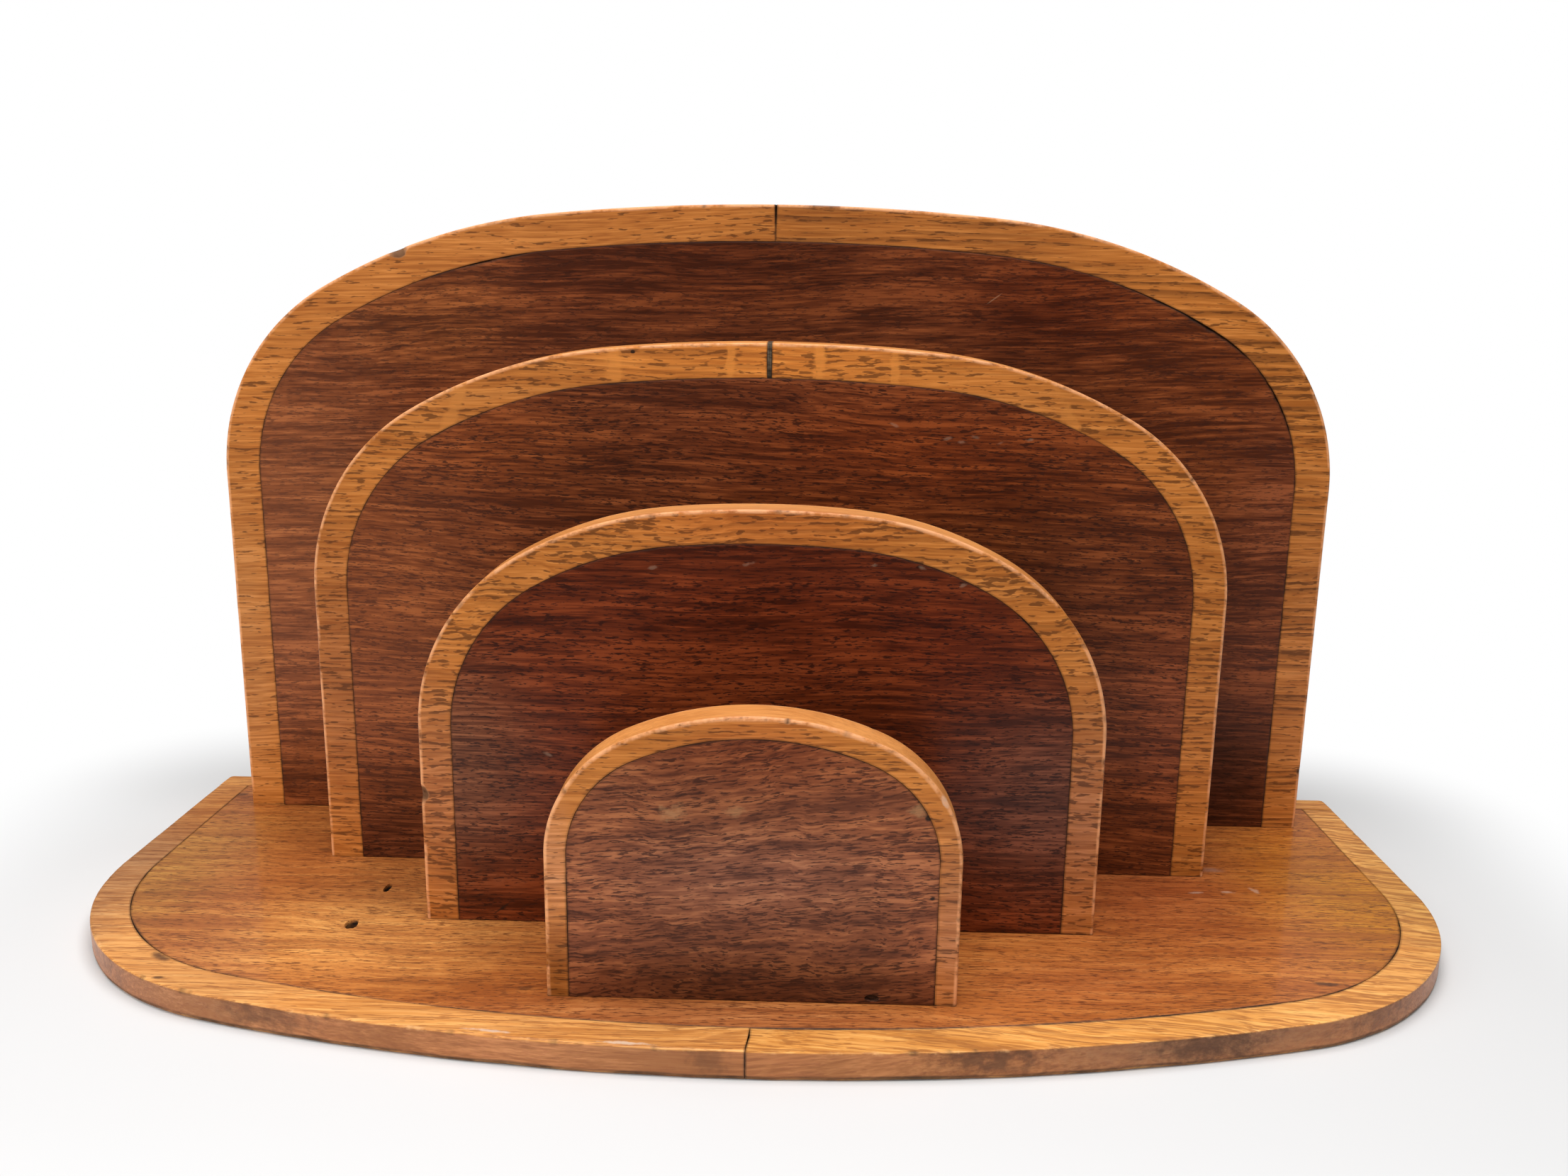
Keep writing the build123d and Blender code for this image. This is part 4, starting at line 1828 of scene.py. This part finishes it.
@dataclass
class Studio:
    """A pale floor, soft lamps, a plain surround and the camera."""

    camera_place: Place = (12.35 * MM, -324.5 * MM, 163.24 * MM)
    yaw: float = math.radians(-1.353)
    pitch: float = math.radians(-13.183)
    roll: float = math.radians(0.789)
    lens: float = 31.489
    sensor: float = 36.0
    nearest: float = 10 * MM
    floor_half: float = 3.0
    floor_front: float = -0.2
    floor_cells: int = 24
    floor_dark: Colour = (0.74, 0.74, 0.74)
    floor_light: Colour = (0.77, 0.77, 0.77)
    floor_rough: float = 0.8
    floor_specular: float = 0.1
    white_from: float = 14 * MM
    white_past: float = 75 * MM
    room_dark: Colour = (0.06, 0.06, 0.06)
    room_light: Colour = (1.0, 1.0, 1.0)
    room_levels: Pair = (0.35, 0.95)
    room_lean: float = 0.25
    room_mirrored: float = 0.75
    ambient: float = 0.3
    lamps: tuple[Lamp, ...] = (
        Lamp("top_lamp", (0.04, -0.10, 0.76), (0.0, -0.02, 0.0), 0.6, 5.6, mirrored=True),
        Lamp("fill_lamp", (-0.10, -0.80, 0.40), (0.0, 0.0, 0.08), 0.7, 2.6),
        Lamp("left_lamp", (-0.60, -0.42, 0.32), (0.0, 0.0, 0.08), 0.5, 2.2))

    def add_floor(self) -> None:
        """Makes the floor, which ends between the rack and the camera."""
        bm = bmesh.new()
        cells = self.floor_cells
        bmesh.ops.create_grid(bm, x_segments=cells, y_segments=cells, size=self.floor_half)
        for vert in bm.verts:
            vert.co.y = max(vert.co.y, self.floor_front)
        bmesh.ops.remove_doubles(bm, verts=bm.verts, dist=1 * MM)
        mesh = bpy.data.meshes.new("floor")
        bm.to_mesh(mesh)
        bm.free()
        floor = bpy.data.objects.new("floor", mesh)
        bpy.context.scene.collection.objects.link(floor)
        mesh.materials.append(self.floor_paper())

    def floor_paper(self) -> bpy.types.Material:
        """Pale paper with the rack's shadow, which is plain white to the camera far from the rack.

        Returns:
            The material.
        """
        material = bpy.data.materials.new("floor_paper")
        material.use_nodes = True
        graph = Graph(material.node_tree)
        shader = material.node_tree.nodes["Principled BSDF"]
        place = graph.node("ShaderNodeTexCoord").outputs["Object"]
        tint = graph.noise(place, scale=3.0, detail=2.0)
        graph.feed(shader.inputs["Base Color"], graph.mix(tint, self.floor_dark, self.floor_light))
        shader.inputs["Roughness"].default_value = self.floor_rough
        shader.inputs["Specular IOR Level"].default_value = self.floor_specular
        beside = graph.vector("SUBTRACT", graph.vector("ABSOLUTE", place), CAD_BOX[1])
        beside = graph.vector("MULTIPLY", graph.vector("MAXIMUM", beside, (0.0, 0.0, 0.0)), (1.0, 1.0, 0.0))
        far = graph.smooth(graph.vector("LENGTH", beside, out="Value"), self.white_from, self.white_past)
        seen = graph.math("MULTIPLY", far, graph.math("MAXIMUM", *seen_rays(graph)))
        mixed = graph.blend(seen, shader, graph.node("ShaderNodeEmission"))
        graph.feed(material.node_tree.nodes["Material Output"].inputs["Surface"], mixed)
        return material

    def add_world(self) -> None:
        """Makes the surround: white to the camera, and a room that is dark in front of the rack."""
        world = bpy.data.worlds.new("studio")
        world.use_nodes = True
        bpy.context.scene.world = world
        graph = Graph(world.node_tree)
        room = world.node_tree.nodes["Background"]
        _, back, up = graph.split(graph.node("ShaderNodeTexCoord").outputs["Generated"])
        level = graph.smooth(graph.math("MULTIPLY_ADD", back, self.room_lean, up), *self.room_levels)
        graph.feed(room.inputs["Color"], graph.mix(level, self.room_dark, self.room_light))
        room.inputs["Strength"].default_value = self.ambient
        white = graph.node("ShaderNodeBackground")
        graph.feed(white.inputs["Color"], (1.0, 1.0, 1.0))
        straight, off_polish = seen_rays(graph)
        shiny = graph.math("MULTIPLY", off_polish, graph.math("MULTIPLY", level, self.room_mirrored))
        mixed = graph.blend(graph.math("MAXIMUM", straight, shiny), room, white)
        graph.feed(world.node_tree.nodes["World Output"].inputs["Surface"], mixed)

    def add_camera(self) -> None:
        """Sets the camera at the photograph's viewing angle."""
        level = math.cos(self.pitch)
        forward = Vector((math.sin(self.yaw) * level, math.cos(self.yaw) * level, math.sin(self.pitch)))
        right = Vector((math.cos(self.yaw), -math.sin(self.yaw), 0.0))
        up = right.cross(forward)
        turn = Matrix.Rotation(-self.roll, 3, forward)
        right, up = turn @ right, turn @ up
        camera = bpy.data.cameras.new("camera")
        camera.sensor_fit = "HORIZONTAL"
        camera.sensor_width = self.sensor
        camera.lens = self.lens
        camera.clip_start = self.nearest
        holder = bpy.data.objects.new("camera", camera)
        pose = Matrix((right, up, -forward)).transposed().to_4x4()
        pose.translation = Vector(self.camera_place)
        holder.matrix_world = pose
        bpy.context.scene.collection.objects.link(holder)
        bpy.context.scene.camera = holder

    def build(self) -> None:
        """Sets up everything round the rack."""
        self.add_floor()
        self.add_world()
        for lamp in self.lamps:
            lamp.hang()
        self.add_camera()
        bpy.context.scene.view_settings.view_transform = "Standard"


PALE_SPECK: Colour = (0.50, 0.33, 0.22)
PALE_PATCH: Colour = (0.46, 0.24, 0.105)
# Near black for a hole, cracks and dark lines painted flat on a face: the painted shade of each hollow with
# its dirt
HOLLOW_DARK: Colour = (0.012, 0.008, 0.006)
STAIN: Colour = (0.085, 0.030, 0.011)
SCUFF: Colour = (0.78, 0.58, 0.44)


def chip(x: float, y: float, reach: float, depth: float) -> Chip:
    """A broken place on an arris, or a gap beside the core, given in millimetres."""
    return Chip((x * MM, y * MM), reach * MM, depth * MM)


def pit(x: float, y: float, half: Pair, depth: float) -> Pit:
    """A hole in a face, given in millimetres."""
    return Pit((x * MM, y * MM), (half[0] * MM, half[1] * MM), depth * MM)


def specks(*places: Pair) -> tuple[Mark, ...]:
    """Pale flecks of dust and filler on a core."""
    return tuple(Mark(place, (1.5, 0.5), PALE_SPECK, 0.24, turn=37.0 * i % 50.0 - 25.0, ragged=2.8, soft=0.9)
                 for i, place in enumerate(places))


def stain(centre: Pair, half: Pair, strength: float = 0.55, turn: float = 0.0) -> Mark:
    """A dark stain with a ragged rim."""
    return Mark(centre, half, STAIN, strength, turn, ragged=1.2, soft=0.8)


def edge_stain(centre: Pair, half: Pair, turn: float, strength: float = 0.6) -> Mark:
    """A long dark stain on the outer edge of the base."""
    return Mark(centre, half, STAIN, strength, turn, ragged=2.0, soft=0.9, deep=9.0, edge_only=True)


def edge_tint(centre: Pair, half: Pair, colour: Colour) -> Mark:
    """A soft change of tone on an outer edge alone."""
    return Mark(centre, half, colour, 1.0, soft=0.9, blend=Blend.TINT, deep=12.0, edge_only=True)


def rear_panel() -> Panel:
    """The tallest panel, whose crown joint and shoulders have opened.

    Returns:
        The panel.
    """
    # Painted light and shade on this core: the lit left side under its lit-tone haze, a brighter upper left,
    # a painted shadow low on the right, a darker top middle and upper right, and a painted sheen on the right
    # side.
    core = Figure(seed=1.0, tilt=1.0, tone=(1.1, 1.08, 1.0), waver=0.5, marks=(
        light_and_tone_patch((-142.0, 85.0), (60.0, 95.0), (1.60, 2.08, 2.7)),
        lit_tone_haze((-142.0, 85.0), (62.0, 100.0), (0.250, 0.079, 0.031)),
        light_and_tone_patch((128.0, 22.0), (34.0, 40.0), (0.35, 0.35, 0.58)),
        light_and_tone_patch((-10.0, 162.0), (80.0, 34.0), (0.65, 0.56, 0.38)),
        light_and_tone_patch((-95.0, 150.0), (40.0, 24.0), (1.25, 1.45, 1.35)),
        light_and_tone_patch((74.0, 156.0), (46.0, 26.0), (0.72, 0.56, 0.44)),
        light_and_tone_patch((142.0, 95.0), (26.0, 62.0), (1.12, 1.24, 1.75)),
        Mark((58.6, 155.7), (2.9, 0.2), (0.42, 0.22, 0.12), 0.5, turn=36.0, ragged=0.2)))
    # Painted light and shade on the band: a darker crown, and a painted sheen on both legs.
    crown = light_and_tone_patch((0.0, 173.0), (85.0, 16.0), (0.82, 0.78, 0.66))
    leg = light_and_tone_patch((-150.0, 62.0), (13.0, 80.0), (0.94, 1.05, 1.4))
    left = Figure(seed=11.0, tilt=2.0, pores=0.7, dash=(4.4, 0.65), rings=0.25, marks=(crown, leg))
    right = Figure(seed=12.0, tilt=-1.0, pores=0.62, rings=0.85, ring_step=2.6, marks=(
        crown, light_and_tone_patch((150.0, 62.0), (13.0, 80.0), (1.0, 1.02, 1.25))))
    return Panel(
        "rear_panel", Arch(58.8 * MM, 158 * MM, 30.0, 612 * MM), core, (left, right), joint_open=0.5 * MM,
        show_arris=Arris(0.5 * MM, seed=2.0, chips=(chip(-101, 165.8, 2.6, 1.7),)),
        gaps=(chip(-77, 168, 12, 0.6), chip(104, 161, 14, 0.5), chip(122, 151, 13, 1.0),
              chip(140, 134, 14, 0.75)))


def second_panel() -> Panel:
    """The second panel, its band cut across the rays of the oak, with a slip in the crown joint.

    Returns:
        The panel.
    """
    # Painted light and shade on this core: the lit left side under its lit-tone haze, a painted shadow low on
    # the left, lighter and darker places along the top, and a painted sheen on the right.
    core = Figure(seed=2.0, tilt=-2.0, tone=(1.05, 1.05, 1.04), waver=0.55, pore_depth=1.36, marks=(
        light_and_tone_patch((-106.0, 75.0), (50.0, 65.0), (1.58, 1.85, 1.9)),
        lit_tone_haze((-106.0, 75.0), (52.0, 70.0), (0.205, 0.058, 0.023)),
        light_and_tone_patch((-100.0, 12.0), (30.0, 26.0), (0.56, 0.56, 0.70)),
        light_and_tone_patch((-62.0, 118.0), (36.0, 22.0), (1.2, 1.18, 0.95)),
        light_and_tone_patch((32.0, 118.0), (82.0, 28.0), (1.02, 0.81, 0.54)),
        light_and_tone_patch((66.0, 106.0), (34.0, 22.0), (0.82, 0.78, 0.66)),
        light_and_tone_patch((106.0, 55.0), (18.0, 48.0), (1.15, 1.15, 1.3)),
        *specks((31.3, 125.3), (44.5, 122.3), (47.7, 121.5), (51.6, 122.6), (57.3, 121.3), (65.1, 122.3))))
    # Painted shade on the band's left leg, and painted light on its crown.
    leg = light_and_tone_patch((-112.0, 55.0), (14.0, 70.0), (0.72, 0.70, 0.95))
    crown = light_and_tone_patch((0.0, 142.0), (85.0, 16.0), (1.34, 1.30, 1.10))
    # The near-black spot on the left piece is a hole painted flat: its painted shade with its dirt.
    left = Figure(seed=13.0, rings=0.5, ring_step=1.8, pores=0.88, dash=(3.8, 0.65), rays=(
        ray((-38.4, 140.0), 2.4), ray((-9.6, 140.0), 1.6), ray((-78.5, 128.0), 2.2, -20.0)),
        marks=(leg, crown, Mark((-33.7, 142.4), (0.7, 0.6), HOLLOW_DARK, 0.9, ragged=0.4)))
    right = Figure(seed=14.0, rings=0.5, ring_step=1.8, pores=0.88, dash=(3.8, 0.65), marks=(crown,), rays=(
        ray((12.2, 140.0), 1.8), ray((30.8, 140.0), 1.7), ray((76.0, 123.5), 2.4, 25.0)))
    return Panel("second_panel", Arch(53.8 * MM, 121 * MM, 30.0, 426 * MM), core, (left, right),
                 joint=1.1 * MM, show_arris=Arris(0.5 * MM, seed=3.0))


def third_panel() -> Panel:
    """The third panel, chipped on the left leg of its band.

    Returns:
        The panel.
    """
    # Painted sheen and shade on this core: a pale bluish sheen low on both sides, and a darker top.
    core = Figure(seed=3.0, tone=(0.86, 0.65, 0.57), waver=0.55, pore_depth=1.4, marks=(
        light_and_tone_patch((-76.0, 45.0), (34.0, 45.0), (1.20, 2.25, 4.2)),
        light_and_tone_patch((72.0, 40.0), (38.0, 42.0), (0.98, 1.62, 3.5)),
        light_and_tone_patch((5.0, 86.0), (62.0, 28.0), (0.95, 0.85, 0.80)),
        light_and_tone_patch((46.0, 78.0), (28.0, 24.0), (0.82, 0.69, 0.56)),
        Mark((-62.5, 10.2), (3.3, 0.3), HOLLOW_DARK, 0.7, turn=38.0, ragged=0.3),
        Mark((62.0, 85.0), (1.3, 0.4), SCUFF, 0.4, turn=-48.0, ragged=1.0),
        *specks((-50.1, 50.0), (-3.1, 97.1), (25.5, 97.3), (36.5, 97.0), (46.0, 92.9), (-25.0, 95.8))))
    # Painted light and shade on the band: a darker crown, and darker legs with a painted sheen.
    band = Figure(seed=15.0, curl=1.2, rings=0.55, pores=1.06, dash=(3.8, 0.78), marks=(
        edge_tint((0.0, 104.0), (62.0, 22.0), (0.86, 0.86, 1.0)),
        light_and_tone_patch((0.0, 107.0), (48.0, 13.0), (1.0, 0.88, 0.84)),
        light_and_tone_patch((-77.0, 40.0), (12.0, 48.0), (0.8, 0.82, 1.33)),
        light_and_tone_patch((77.0, 35.0), (12.0, 48.0), (0.8, 0.84, 1.55))))
    return Panel(
        "third_panel", Arch(48.4 * MM, 86 * MM, 30.0, 243 * MM), core, (band,),
        show_arris=Arris(0.5 * MM, seed=4.0, chips=(chip(-81, 38.9, 2.2, 1.5),)),
        gaps=(chip(-27, 100, 4, 0.25), chip(62, 86, 6, 0.35)))


def front_panel() -> Panel:
    """The small front panel, of curlier wood, with a dent at its foot.

    Returns:
        The panel.
    """
    # Painted light and shade on this core: painted shade at the foot and the top, and a painted sheen across
    # the middle.
    core = Figure(seed=4.0, tilt=4.5, tone=(1.04, 1.04, 1.04), curl=1.6, marks=(
        light_and_tone_patch((0.0, 8.0), (62.0, 18.0), (0.50, 0.42, 0.36)),
        light_and_tone_patch((0.0, 36.0), (48.0, 16.0), (1.12, 1.30, 1.70)),
        light_and_tone_patch((0.0, 66.0), (42.0, 20.0), (0.82, 0.66, 0.56)),
        Mark((37.1, 50.5), (0.9, 0.8), HOLLOW_DARK, 0.9, ragged=0.6),
        Mark((38.6, 32.1), (0.6, 0.5), HOLLOW_DARK, 0.9, ragged=0.6),
        *(Mark(centre, half, PALE_PATCH, strength, ragged=2.2, soft=0.8) for centre, half, strength in (
            ((-17.4, 50.3), (4.0, 2.2), 0.5), ((34.8, 52.0), (2.6, 1.7), 0.5),
            ((-3.1, 50.9), (3.2, 1.6), 0.4)))))
    # Painted light and shade on the band: painted shade at the left foot, a painted sheen on both legs and a
    # slightly darker crown.
    band = Figure(seed=16.0, pores=0.8, rings=0.4, marks=(
        light_and_tone_patch((-42.5, 12.0), (7.0, 20.0), (0.54, 0.50, 0.46)),
        light_and_tone_patch((-43.0, 38.0), (8.0, 22.0), (1.03, 1.18, 2.2)),
        light_and_tone_patch((43.0, 25.0), (8.0, 34.0), (0.80, 0.86, 1.6)),
        light_and_tone_patch((0.0, 66.0), (26.0, 10.0), (0.98, 0.88, 0.96)),
        Mark((40.5, 54.0), (0.8, 2.2), SCUFF, 0.5, turn=25.0, ragged=1.2)))
    return Panel(
        "front_panel", Arch(28.2 * MM, 30 * MM, 60.0, 68 * MM), core, (band,), wood=CURLY_MAHOGANY,
        show_arris=Arris(0.55 * MM, seed=5.0, nibble=0.4 * MM), pits=(pit(26.4, 8.3, (1.7, 0.8), 0.9),))


def make_base() -> BaseBoard:
    """The base board with its worm holes, stains and scuffs, and painted light, shade and reflections.

    Returns:
        The base board.
    """
    # Painted light and reflection on the core: a bright polished left middle, a sheen along the front, a
    # yellowish painted reflection at the right end and a redder painted reflection of the panels beside them.
    core = Figure(seed=5.0, tone=(1.04, 1.06, 1.05), marks=(
        light_and_tone_patch((-160.0, 5.0), (36.0, 72.0), (0.90, 1.15, 0.98)),
        light_and_tone_patch((-94.0, -28.0), (50.0, 36.0), (1.76, 2.34, 2.85)),
        light_and_tone_patch((-8.0, -60.0), (80.0, 13.0), (1.08, 1.18, 1.7)),
        light_and_tone_patch((158.0, 0.0), (48.0, 75.0), (0.92, 1.00, 0.2)),
        light_and_tone_patch((98.0, 8.0), (56.0, 55.0), (0.72, 0.58, 0.68)),
        light_and_tone_patch((76.0, -42.0), (46.0, 20.0), (0.84, 0.78, 0.88)),
        stain((-158.8, 58.1), (3.2, 1.6), 0.6),
        stain((-120.2, 20.1), (2.6, 1.4)),
        stain((-50.3, -50.4), (2.8, 1.2)),
        Mark((129.7, -39.4), (4.0, 1.1), STAIN, 0.85, ragged=1.6, soft=0.7),
        stain((134.9, 35.0), (2.2, 1.0)),
        Mark((120.0, 20.3), (5.0, 2.0), (0.30, 0.21, 0.17), 0.4, ragged=1.0, soft=0.9),
        Mark((113.0, 6.2), (3.4, 0.8), SCUFF, 0.3, turn=8.0, ragged=3.0, soft=0.9),
        Mark((121.0, 6.9), (3.0, 0.7), SCUFF, 0.3, turn=-12.0, ragged=3.0, soft=0.9),
        Mark((128.0, 8.2), (1.0, 2.4), SCUFF, 0.28, turn=25.0, ragged=3.0, soft=0.9)))
    # The soft patches at the left end of the band are painted shade.
    left = Figure(seed=17.0, tone=(1.06, 1.13, 1.28), rings=0.45, marks=(
        light_and_tone_patch((-168.0, 15.0), (36.0, 75.0), (0.54, 0.54, 0.70)),
        light_and_tone_patch((-162.0, 45.0), (16.0, 38.0), (0.86, 0.70, 0.44)),
        light_and_tone_patch((-166.0, -30.0), (16.0, 26.0), (0.86, 0.88, 0.98)),
        edge_tint((-38.0, -70.0), (52.0, 16.0), (1.14, 1.21, 1.30)),
        edge_tint((-115.0, -58.0), (50.0, 32.0), (1.06, 1.14, 1.32)),
        stain((-137.0, -40.4), (4.0, 1.8), 0.85, -35.0),
        Mark((-132.8, -49.9), (2.0, 0.9), STAIN, 0.85, ragged=1.2, soft=0.7),
        edge_stain((-8.0, -73.0), (6.0, 2.0), 0.0, 0.45),
        edge_stain((-104.0, -60.5), (16.0, 3.0), -14.0),
        edge_stain((-150.0, -38.0), (13.0, 5.0), -45.0, 0.45),
        Mark((-54.1, -67.9), (6.0, 0.7), SCUFF, 0.7, turn=-7.0, ragged=1.8, soft=0.6),
        Mark((-25.3, -71.2), (7.0, 0.7), SCUFF, 0.75, turn=-3.0, ragged=1.8, soft=0.6)))
    # The soft patch at the right end of the band is painted shade.
    right = Figure(seed=18.0, tilt=8.0, tone=(1.1, 1.2, 1.25), waver=1.8, curl=0.9, pores=1.15, rings=0.7,
                   ring_step=2.2, dash=(7.0, 0.65), marks=(
        light_and_tone_patch((170.0, 5.0), (28.0, 62.0), (0.80, 0.82, 0.72)),
        edge_tint((95.0, -60.0), (72.0, 24.0), (0.60, 0.70, 0.91)),
        edge_stain((50.0, -70.2), (16.0, 2.5), 7.0, 0.7),
        edge_stain((98.0, -62.0), (18.0, 3.0), 13.0, 0.7),
        edge_stain((138.0, -49.0), (18.0, 5.0), 32.0, 0.5)))
    return BaseBoard(
        core_figure=core, left_figure=left, right_figure=right, rear_figure=Figure(seed=19.0, rings=0.3),
        gaps=(chip(-170, -8, 18, 0.28), chip(-155, -42, 15, 0.32), chip(-118, -58, 18, 0.25),
              chip(165, -22, 24, 0.3)),
        pits=(pit(-95.8, -2.3, (0.9, 2.5), 4.0), pit(-98.4, -22.3, (1.5, 2.6), 3.5)))


def main() -> None:
    """Builds and dresses the rack board by board and sets the studio round it."""
    logging.basicConfig(level=logging.INFO, format="%(name)s: %(message)s")
    effects = Effects.make()
    for board in (make_base(), rear_panel(), second_panel(), third_panel(), front_panel()):
        board.build()
        board.dress(effects)
    screws = Screws()
    screws.build()
    screws.dress()
    Studio().build()


if __name__ == "__main__":
    main()
